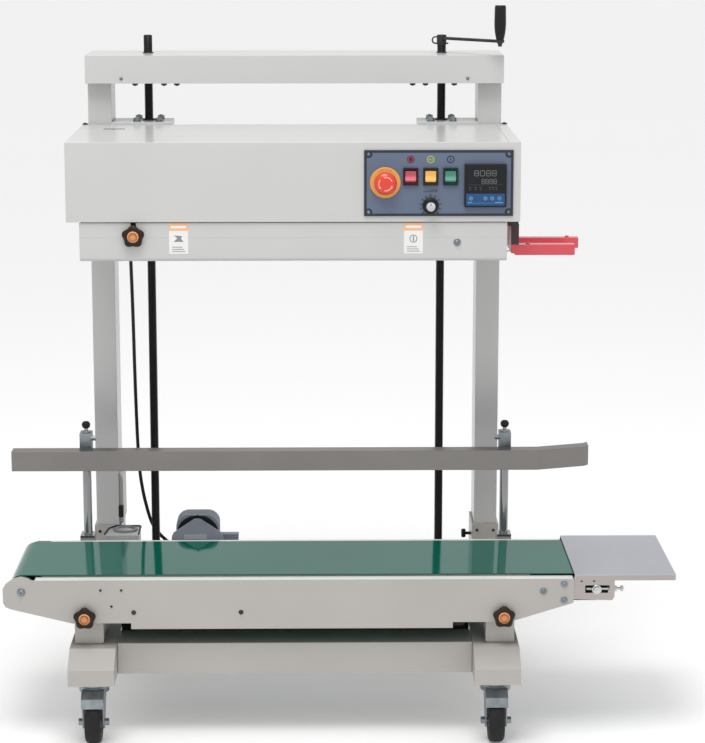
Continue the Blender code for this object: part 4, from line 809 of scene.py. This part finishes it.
def build_panel():
    refined("control_panel", "panel", 0.0004)
    low, high = box_of("control_panel")
    hole, edge = (0.0078, 0.007), 0.0044
    inner_z = (low.z + edge, high.z - edge)
    strips = [rectangle((low.x, high.x), (low.z, inner_z[0])),
              rectangle((low.x, high.x), (inner_z[1], high.z)),
              rectangle((low.x, low.x + edge), inner_z), rectangle((high.x - edge, high.x), inner_z)]
    fillets, places = [], []
    for x, turn_x in ((low.x, 1), (high.x, -1)):
        for z, turn_z in ((low.z, 1), (high.z, -1)):
            fillets.append(corner_fillet((x, z), hole, edge, 0.0064, turn_x, turn_z))
            places.append((x + turn_x * hole[0], low.y - 0.0003, z + turn_z * hole[1]))
    piece("panel_border", "head", "panel_blue", "navy", *printed(low.y, *strips),
          *printed(low.y, *fillets, thick=0.00035))
    screws("panel_screws", places, "-Y", 2.7, "head", height=1.4)


def build_e_stop():
    centre = middle("e_stop_button")
    face = box_of("control_panel")[0].y
    spot = (centre.x, centre.z)
    origin = (centre.x, face, centre.z)
    collar = [(11, 0), (26.5, 0), (26.5, 3), (25.7, 4.2), (21.5, 4.6), (15, 4.6), (14.5, 7.5), (11, 7.5)]
    piece("e_stop_collar", "head", "button_red", "yellow", (lathe, collar, origin, "-Y", 56), smooth=40)
    marks = []
    for part in range(3):
        turns = [math.radians(120 * part + 62 + 5.6 * k) for k in range(11)]
        outline = [polar(spot, 0.0248, a) for a in turns] + [polar(spot, 0.0222, a) for a in reversed(turns)]
        marks.append((prism, outline, "Y", face - 0.0048, face - 0.004))
    piece("e_stop_collar_marks", "head", "button_red", "orange", *marks)
    cap = [(0, 25), (6, 24.9), (11, 24.4), (14.6, 23.1), (17.2, 21.1), (18.8, 18.6), (19.5, 16.6),
           (19.2, 15), (18, 14), (10, 13.2), (10, -15), (0, -15)]
    skin = piece("e_stop_cap", "e_stop", "button_red", "button", (lathe, cap, origin, "-Y", 56), smooth=50)
    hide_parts("e_stop_button")

    def on_cap(radius, degrees, height):
        x, z = polar(spot, radius, math.radians(degrees))
        return Vector((x, face - height, z))

    arrows = []
    for part in range(3):
        start = 120 * part + 20
        arrows.append((sweep, [on_cap(0.0115, start + 6 * k, 0.0241) for k in range(13)], 0.0012, 8))
        head = [on_cap(0.0115, start + 90, 0.0238), on_cap(0.0093, start + 70, 0.024),
                on_cap(0.0137, start + 70, 0.024)]
        arrows.append((slab, head, Vector((0, -0.0009, 0))))
    piece("e_stop_arrows", "e_stop", "button_red", "button_mark", *arrows)


ROCKER_Z = 0.9815
ICON_Z = 1.0099


def build_rockers():
    face = box_of("control_panel")[0].y
    for colour, ink in (("red", "maroon_print"), ("amber", "olive_print"), ("green", "teal_print")):
        node = "rocker_" + colour
        centre = (middle(node).x, ROCKER_Z)
        rim = (centre[0], ROCKER_Z - 0.001)
        lens = refined(node, "lens_" + colour, 0.0006)
        lens.name = node + "_lens"
        rims = (around(rim, 0.0257, 0.0299), around(centre, 0.0197, 0.0222))
        lips = (around(centre, 0.0199, 0.0224), around(centre, 0.0191, 0.0204))
        piece(node + "_bezel", "head", "black_plastic", "bezel_" + colour,
              (ring_prism, *rims, "Y", face - 0.0042, face),
              (ring_prism, *lips, "Y", face - 0.0012, face + 0.01), bevel=0.0007)
        spot = (centre[0], ICON_Z)
        marks = [around(spot, 0.0016, 0.0052)]
        if colour == "red":
            marks.append(circle(spot, 0.004, 24))
        if colour == "amber":
            marks += [around((spot[0] + dx, spot[1]), 0.0014, 0.0034) for dx in (0.0026, -0.0026)]
        piece(node + "_icon", "head", "panel_blue", ink,
              (ring_prism, circle(spot, 0.0067), circle(spot, 0.0047), "Y", face - 0.00025, face),
              *printed(face, *marks, thick=0.00025))


def build_speed_knob():
    node = "speed_knob"
    centre = middle(node)
    face = box_of("control_panel")[0].y
    spot = (centre.x, centre.z)
    origin = (centre.x, face, centre.z)

    def fluted(angle, r):
        return r * (1 - 0.035 * (0.5 + 0.5 * math.cos(22 * angle))) if 9.4 < r < 11.2 else r

    profile = [(0, 17.2), (7.8, 17.2), (7.8, 18), (9.2, 17.6), (10, 16), (10.5, 6), (11.8, 4.2), (13.6, 3.6),
               (14, 2.4), (14, 0.9), (3.2, 0.9), (3.2, -12), (0, -12)]
    skin = piece("speed_knob_skin", node, "black_plastic", "black",
                 (lathe, profile, origin, "-Y", 88, fluted), smooth=40)
    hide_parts(node)
    cap = [(0, 17.6), (6.6, 17.6), (7.6, 18.1), (7.8, 17.2), (0, 17.2)]
    piece("speed_knob_cap", node, "bright_steel", "silver", (lathe, cap, origin, "-Y", 48), smooth=30)
    piece("speed_knob_pointer", node, "black_plastic", "gloss_black",
          (prism, around((centre.x, centre.z + 0.0038), 0.0011, 0.005), "Y", face - 0.0181, face - 0.0174))
    ticks = []
    for step in range(11):
        major = step % 5 == 0
        angle = math.radians(225 - 27 * step)
        ray = Vector((math.cos(angle), math.sin(angle)))
        side = Vector((-ray.y, ray.x)) * (0.0009 if major else 0.0007)
        near, far = ray * 0.0152, ray * (0.0196 if major else 0.0188)
        corners = (near + side, near - side, far - side, far + side)
        ticks.append([(spot[0] + c.x, spot[1] + c.y) for c in corners])
    for step in range(8):
        x = centre.x - 0.0118 + 0.0031 * step
        ticks.append(rectangle((x, x + 0.0013), (centre.z + 0.0232, centre.z + 0.0252 + 0.0005 * step)))
    piece("speed_scale", "head", "panel_blue", "navy", *printed(face, *ticks))


SEGMENTS = {"0": "abcdef", "8": "abcdefg"}


def digit_bars(digit, x, z, width, height):
    """The outlines of a seven-segment digit whose lower left corner is at x, z."""
    thick = height * 0.11
    gap = thick * 0.12
    half = height / 2
    across, left, right = (x + thick, x + width - thick), (x, x + thick), (x + width - thick, x + width)
    upper, lower = (z + half, z + height - thick / 2), (z + thick / 2, z + half)
    spans = {"a": (across, (z + height - thick, z + height)),
             "g": (across, (z + half - thick / 2, z + half + thick / 2)),
             "d": (across, (z, z + thick)), "f": (left, upper), "b": (right, upper), "e": (left, lower),
             "c": (right, lower)}
    return [rectangle(*[(low + gap, high - gap) for low, high in spans[key]]) for key in SEGMENTS[digit]]


def build_controller():
    refined("temp_controller", "black", 0.0012, 3)
    low, high = box_of("temp_controller")
    centre = (low + high) / 2
    window = low.y - 0.0004

    def span(left, right, bottom, top):
        """A rectangle from distances to the middle and to the lower edge."""
        return rectangle((centre.x + left, centre.x + right), (low.z + bottom, low.z + top))

    def controller_piece(name, look, face, outlines, thick=0.0003, bevel=0.0):
        piece("controller_" + name, "head", "black_plastic", look, *printed(face, *outlines, thick=thick),
              bevel=bevel)

    glass_top = high.z - low.z - 0.0045
    controller_piece("window", "gloss_black", low.y, [span(-0.033, 0.033, 0.003, glass_top)], 0.0004, 0.0002)
    controller_piece("key_strip", "key_strip", window, [span(-0.033, 0.033, 0.003, 0.0235)])
    displays = (("digits", "8088", -0.0195, 0.01, 0.0205, (0.008, 0.01)),
                ("small_digits", "8888", -0.007, 0.0068, 0.0336, (0.0055, 0.0085)))
    for name, digits, start, step, drop, size in displays:
        bars = []
        for index, digit in enumerate(digits):
            bars += digit_bars(digit, centre.x + start + step * index, high.z - drop, *size)
        controller_piece(name, "digit", window, bars)
    lamps = []
    for x in (-0.0265, -0.017, -0.0085, 0.0075, 0.013, 0.0185):
        lamps += [circle((centre.x + x, low.z + 0.031), 0.0011, 12),
                  around((centre.x + x, low.z + 0.0345), 0.0042, 0.0009)]
    controller_piece("lamps", "digit_dim", window, lamps + [span(-0.03, 0.03, 0.0386, 0.039)])
    face = window - 0.0003
    rings, signs = [], []
    for x, turn in ((-0.025, None), (0.0, math.pi / 2), (0.0115, -math.pi / 2), (0.024, 0.0)):
        spot = (centre.x + x, low.z + 0.0155)
        loops = (circle(spot, 0.0034, 24), circle(spot, 0.0024, 24))
        rings.append((ring_prism, *loops, "Y", face - 0.0003, face))
        signs.append(around(spot, 0.0022) if turn is None else circle(spot, 0.0018, 3, turn))
    signs += [span(-0.03, 0.03, 0.0072, 0.0076), span(-0.03, -0.023, 0.0078, 0.0092),
              span(0.0165, 0.03, 0.0078, 0.0092)]
    piece("controller_keys", "head", "black_plastic", "key_print", *rings, *printed(face, *signs))


# ---- sealing unit and bag guide
def build_sealing():
    for place in ("front", "rear"):
        dress("seal_band_" + place, "band")
        dress("heater_" + place, "steel")
        for end in ("in", "out"):
            dress("band_pulley_%s_%s" % (place, end), "steel")
    refined("infeed_guide", "red_guide", 0.0016, 3)
    low, high = box_of("infeed_guide")
    piece("guide_bracket", "head", "guide_red", "brown_block",
          (box, (low.x - 0.0002, low.y - 0.0012, 0.856), (low.x + 0.0135, low.y + 0.0004, 0.8925)),
          (box, (low.x - 0.006, low.y - 0.001, 0.888), (low.x + 0.0125, low.y + 0.03, 0.8985)), bevel=0.0008)
    cover_end = box_of("front_cover")[1].x
    piece("guide_ties", "head", "bright_steel", "steel",
          *[(box, (cover_end - 0.004, low.y + 0.004, z), (low.x + 0.0015, low.y + 0.008, z + 0.0022))
            for z in (0.8425, 0.852)], bevel=0.0003)
    screws("guide_screws", [(low.x + 0.03, low.y + 0.01, 0.856), (high.x - 0.02, high.y - 0.009, 0.856)],
           "Z", 3.5, "head", "dark_steel", "red_guide")


# ---- conveyor
FLANGE_TOP = 0.29
TAKE_UP_Z = 0.2694


def build_conveyor():
    for place, inward, depth in (("front", 1, 0.0195), ("rear", -1, 0.0155)):
        refined("conveyor_panel_" + place, "shaded_base_paint", 0.0006)
        low, high = box_of("conveyor_panel_" + place)
        outer = low.y if inward > 0 else high.y
        near, far = sorted((outer + inward * 0.0004, outer + inward * depth))
        # A pale strip on each panel's top flange: painted highlight of the overhead light.
        piece("panel_flange_" + place, "conveyor", "cream_paint", "flange_highlight_paint",
              (box, at(-0.449, near, FLANGE_TOP - 0.0004), at(0.4835, far, FLANGE_TOP + 0.0004)),
              bevel=0.0003)
    dress("conveyor_bed", "shaded_base_paint")
    build_belt()
    for node in ("drive_roller", "tail_roller"):
        dress(node, "steel")
    refined("tail_frame", "bracket", 0.0004)
    refined("extension_table", "table", 0.001, 3)
    low, high = box_of("extension_table")
    # A darker brushed strip on the table's front skirt, standing in for its dimmer reflection: painted
    # shade.
    piece("table_skirt_shade", "conveyor", "table_sheet", "bracket",
          (box, (low.x + 0.0012, low.y - 0.0003, low.z + 0.0002), (high.x - 0.0015, low.y, high.z - 0.0016)))
    front = box_of("conveyor_panel_front")[0].y
    back = box_of("conveyor_panel_rear")[1].y
    brackets = [corner.y for corner in box_of("tail_frame")]
    nose = (-0.473, TAKE_UP_Z)
    middle_row = [(-0.279, 0.232), (-0.093, 0.232)]
    tail = [(0.432, 0.268), (0.468, 0.281), (0.468, 0.252)]
    rows = (
        ("panel_small_screws", [(-0.336, 0.272), (-0.3, 0.272), (-0.3175, 0.243)], "-Y", 2.2, "dark", 1.0),
        ("panel_bed_screws", middle_row, "-Y", 3, "dark", 1.4),
        ("panel_tail_screws", tail, "-Y", 4.2, "zinc", 1.55),
        ("nose_bolt", [nose], "-Y", 5.5, "zinc", 1.4),
        ("rear_panel_screws", [nose, *middle_row, (0.093, 0.232), *tail], "Y", 3.6, "zinc", 1.5),
    )
    for name, spots, axis, radius, look, ratio in rows:
        slot = "dark_steel" if look == "dark" else "bright_steel"
        face = front if axis == "-Y" else back
        screws(name, [at(x, face, z) for x, z in spots], axis, radius, "conveyor", slot, look, ratio)
    take_up, slot_shades = [], []
    for y, axis, inward in zip(brackets, ("-Y", "Y"), (1, -1)):
        take_up += bolt(at(0.525, y, TAKE_UP_Z), axis, (8.5, 1.5), (6.6, 5))
        inner = y + inward * 0.0072
        take_up += [(bar, at(0.507, inner, TAKE_UP_Z), at(0.568, inner, TAKE_UP_Z), 2.6, 16, 0.5),
                    (hex_head, at(0.5565, inner, TAKE_UP_Z), "X", 5.2, 3.6),
                    (hex_head, at(0.567, inner, TAKE_UP_Z), "X", 5.2, 4.2)]
        near, far = sorted((y + inward * 0.0108, y + inward * 0.0116))
        # Near-black boxes behind the take-up slots: painted shade inside the slots.
        slot_shades.append((box, at(0.496, near, 0.259), at(0.545, far, 0.2798)))
    piece("take_up_screws", "conveyor", "bright_steel", "steel", *take_up)
    piece("take_up_slot_shade", "conveyor", "black_plastic", "cavity", *slot_shades)
    screws("table_screws", [at(x, brackets[0], 0.2855) for x in (0.4985, 0.52)], "-Y", 2.2, "conveyor",
           look="dark")
    piece("under_panel_clip", "conveyor", "black_plastic", "black",
          (box, at(0.276, front + 0.003, 0.206), at(0.295, front + 0.012, 0.2122)), bevel=0.0006)
    for side in SIDES:
        build_star_knob("leg_knob_" + side, 18.7)


def build_belt():
    """The belt with a glossy cover and a fabric ply at its edges."""
    node = "conveyor_belt"
    low, high = box_of(node)
    radius = (high.z - low.z) / 2
    thick, cover = 0.0017, 0.00102
    centre_z = (low.z + high.z) / 2
    ends = ((low.x + radius, centre_z), (high.x - radius, centre_z))
    outer, seam, inner = (stadium(*ends, radius - depth) for depth in (0.0, cover, thick))
    belt = piece("belt_cover", BODY_OF[node], SLOT_OF[node], "belt",
                 (ring_prism, outer, seam, "Y", low.y, high.y), smooth=20)
    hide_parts(node)
    piece("belt_ply", BODY_OF[node], SLOT_OF[node], "belt_side",
          (ring_prism, seam, inner, "Y", low.y + 0.0003, high.y - 0.0003), smooth=20)


def motor_housing(shape, centre, half):
    """The ribbed body of the motor, from rounded squares of (half width, Y)."""
    stages = [(half - 0.0012, 0.034), (half, 0.0352), (half, 0.04)]
    for fin in range(6):
        start = 0.0415 + fin * 0.0052
        stages += [(half - 0.0016, start), (half - 0.0016, start + 0.0016), (half, start + 0.0022),
                   (half, start + 0.0044)]
    stages += [(half, 0.0765), (half - 0.0015, 0.078)]
    rings = []
    for size, y in stages:
        outline = rounded_square(centre, size, 0.022 - (half - size))
        rings.append([shape.verts.new((u, y, v)) for u, v in outline])
    for first, second in zip(rings, rings[1:]):
        stitch(shape, first, second)
    shape.faces.new(rings[0])
    shape.faces.new(rings[-1][::-1])


def build_motor():
    """A rounded square motor behind a gabled gearbox plate, with a terminal box and a blank name plate."""
    node = "conveyor_motor"
    x, z = X_MID - 0.1825, 0.287
    plate_y = (0.024, 0.029)
    gable = [(0.048, 0.215), (0.048, 0.287), (0.0445, 0.2955), (0.0385, 0.2995), (0.006, 0.3215),
             (0.0, 0.3225)]
    gable += [(-across, height) for across, height in reversed(gable[:-1])]
    plate = piece("motor_gearbox", "conveyor", "motor_grey", "motor",
                  (prism, [(x + across, height) for across, height in gable], "Y", *plate_y),
                  (box, (x - 0.03, box_of(node)[0].y, 0.22), (x + 0.03, plate_y[0] + 0.001, 0.262)),
                  bevel=0.0015)
    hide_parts(node)
    piece("motor_face_shade", "conveyor", "black_plastic", "gloss_black",
          # The gloss-black disc between the gearbox plate and the housing stands in for the shade on the
          # motor's face: painted shade.
          (lathe, [(0, 0), (40.2, 0), (40.2, 6), (0, 6)], (x, plate_y[1] - 0.0002, z), "Y", 48),
          (bar, Vector((x, plate_y[0] + 0.002, 0.3262)), Vector((x, 0.036, 0.3262)), 2.7, 16), smooth=30)
    end_cap = [(0, 0), (29, 0), (29, 15), (26.8, 17.2), (10, 17.2), (9, 16), (0, 16)]
    piece("motor_housing", "conveyor", "motor_grey", "motor", (motor_housing, (x, z), 0.0398),
          (lathe, end_cap, (x, 0.0778, z), "Y", 48), smooth=30)
    piece("motor_terminal_box", "conveyor", "motor_grey", "motor",
          (box, at(-0.149, 0.0466, 0.25), at(-0.1076, 0.0619, 0.284)),
          (box, at(-0.15, 0.046, 0.2838), at(-0.107, 0.0625, 0.287)), bevel=0.0012)
    piece("motor_plate", "conveyor", "motor_grey", "plate",
          (box, (x - 0.025, plate_y[0] - 0.0006, 0.2835), (x + 0.017, plate_y[0], 0.2925)))
    screws("gearbox_screws", [(x + dx, plate_y[0], 0.28) for dx in (-0.041, 0.041)], "-Y", 3, "conveyor",
           "dark_steel", "dark")


def build_drive_housing():
    """A light drive box behind the belt near the left post: dark rim on three sides, a ring on its lid."""
    x0, x1, y0, y1, top = X_MID - 0.355, X_MID - 0.292, 0.03, 0.092, 0.2905
    back = [(x1, y1 - 0.004), (x1 - 0.004, y1), (x0 + 0.016, y1), (x0 + 0.004, y1 - 0.02)]
    piece("drive_box", "conveyor", "cream_paint", "paint",
          (prism, [(x0, y0), (x1, y0), *back], "Z", 0.25, top), bevel=0.002, segments=3)
    path = [(x0, y0 + 0.002), *back[::-1], (x1, y0 + 0.002)]
    piece("drive_box_rim", "conveyor", "black_plastic", "black",
          (sweep, [Vector((x, y, top + 0.0008)) for x, y in path], 0.0016, 10), smooth=60)
    ring = [(15, 0), (23, 0), (23, 2.2), (21.5, 3.2), (18.5, 3.2), (15, 1.2)]
    piece("drive_box_ring", "conveyor", "bright_steel", "zinc",
          (lathe, ring, ((x0 + x1) / 2 + 0.004, 0.066, top), "Z", 48), smooth=30)


# ---- guide rail
def build_rail():
    refined("guide_rail", "stainless", 0.0006)
    knob = [(0, 0), (4.2, 0), (6.8, 2.2), (8, 6), (7.4, 9.5), (4.8, 12.4), (0, 13.2)]
    for side, sign in SIDES.items():
        refined("rail_rod_" + side, "chrome", 0.0006, smooth=30)
        refined("rail_clamp_" + side, "zinc", 0.0008, smooth=30)
        piece("rail_knob_" + side, "conveyor", "black_plastic", "black",
              (lathe, knob, at(sign * 0.383, 0.012, 0.497), "Z", 28), smooth=60)
        screws("rail_foot_screws_" + side, [at(sign * 0.383 + dx, 0.0262, 0.283) for dx in (-0.008, 0.008)],
               "Y", 3, "conveyor")


# ---- casters
def build_casters():
    race = [(20, 0), (26.2, 0), (27.5, 3), (26.2, 5.8), (20, 5.8)]
    bent = [(0.02, 0.0965), (0.034, 0.0965), (0.0475, 0.086), (0.0475, 0.0685), (0.0457, 0.0685),
            (0.0457, 0.0851), (0.0333, 0.0947), (0.02, 0.0947)]
    for place in ("front_left", "front_right", "rear_left", "rear_right"):
        refined("caster_fork_" + place, "zinc", 0.0006)
        node = "caster_wheel_" + place
        low, high = box_of(node)
        centre = (low + high) / 2
        radius, half = (high.z - low.z) / 2 / MM, (high.x - low.x) / 2 / MM
        tyre = [(radius - 12.5, half - 0.6), (radius - 5.5, half - 0.2), (radius - 2.2, half - 2.2),
                (radius - 0.4, half - 6), (radius, half - 9.5)]
        hub = [(radius - 12.4, half - 1.2), (22.5, half - 1.6), (21.2, half - 4.6), (11.2, half - 4.6),
               (10.2, half - 0.4), (4.3, half)]
        tyre += [(r, -h) for r, h in reversed(tyre)]
        hub += [(r, -h) for r, h in reversed(hub)]
        body, slot = BODY_OF[node], SLOT_OF[node]
        skin = piece(node + "_tyre", body, slot, "tyre", (lathe, tyre, centre, "X", 56), smooth=50)
        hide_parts(node)
        piece(node + "_hub", body, slot, "hub", (lathe, hub, centre, "X", 48), smooth=30)
        swivel = (middle("caster_fork_" + place).x, -0.26 if "front" in place else 0.26)
        piece("caster_race_" + place, "frame", "zinc", "zinc", (lathe, race, (*swivel, 0.0985), "Z", 40),
              smooth=50)
        lean = 1 if centre.y > swivel[1] else -1
        apron = [(swivel[1] + lean * reach, height) for reach, height in bent]
        piece("caster_apron_" + place, BODY_OF["caster_fork_" + place], "zinc", "zinc",
              (prism, apron, "X", swivel[0] - 0.0196, swivel[0] + 0.0196), bevel=0.0006)
        piece("caster_bolts_" + place, "frame", "bright_steel", "steel",
              *[(hex_head, (swivel[0] + dx, swivel[1] + dy, 0.11), "-Z", 5, 3.5)
                for dx in (-0.0225, 0.0225) for dy in (-0.0245, 0.0245)])


# ---- assembly
build_materials()
build_camera()
build_cable()
build_studio()
build_base()
build_beam()
build_lead_screws()
build_crank()
build_head()
build_front_cover()
build_star_knob("cover_knob", 8.0)
build_panel()
build_e_stop()
build_rockers()
build_speed_knob()
build_controller()
build_sealing()
build_conveyor()
build_motor()
build_drive_housing()
build_rail()
build_casters()
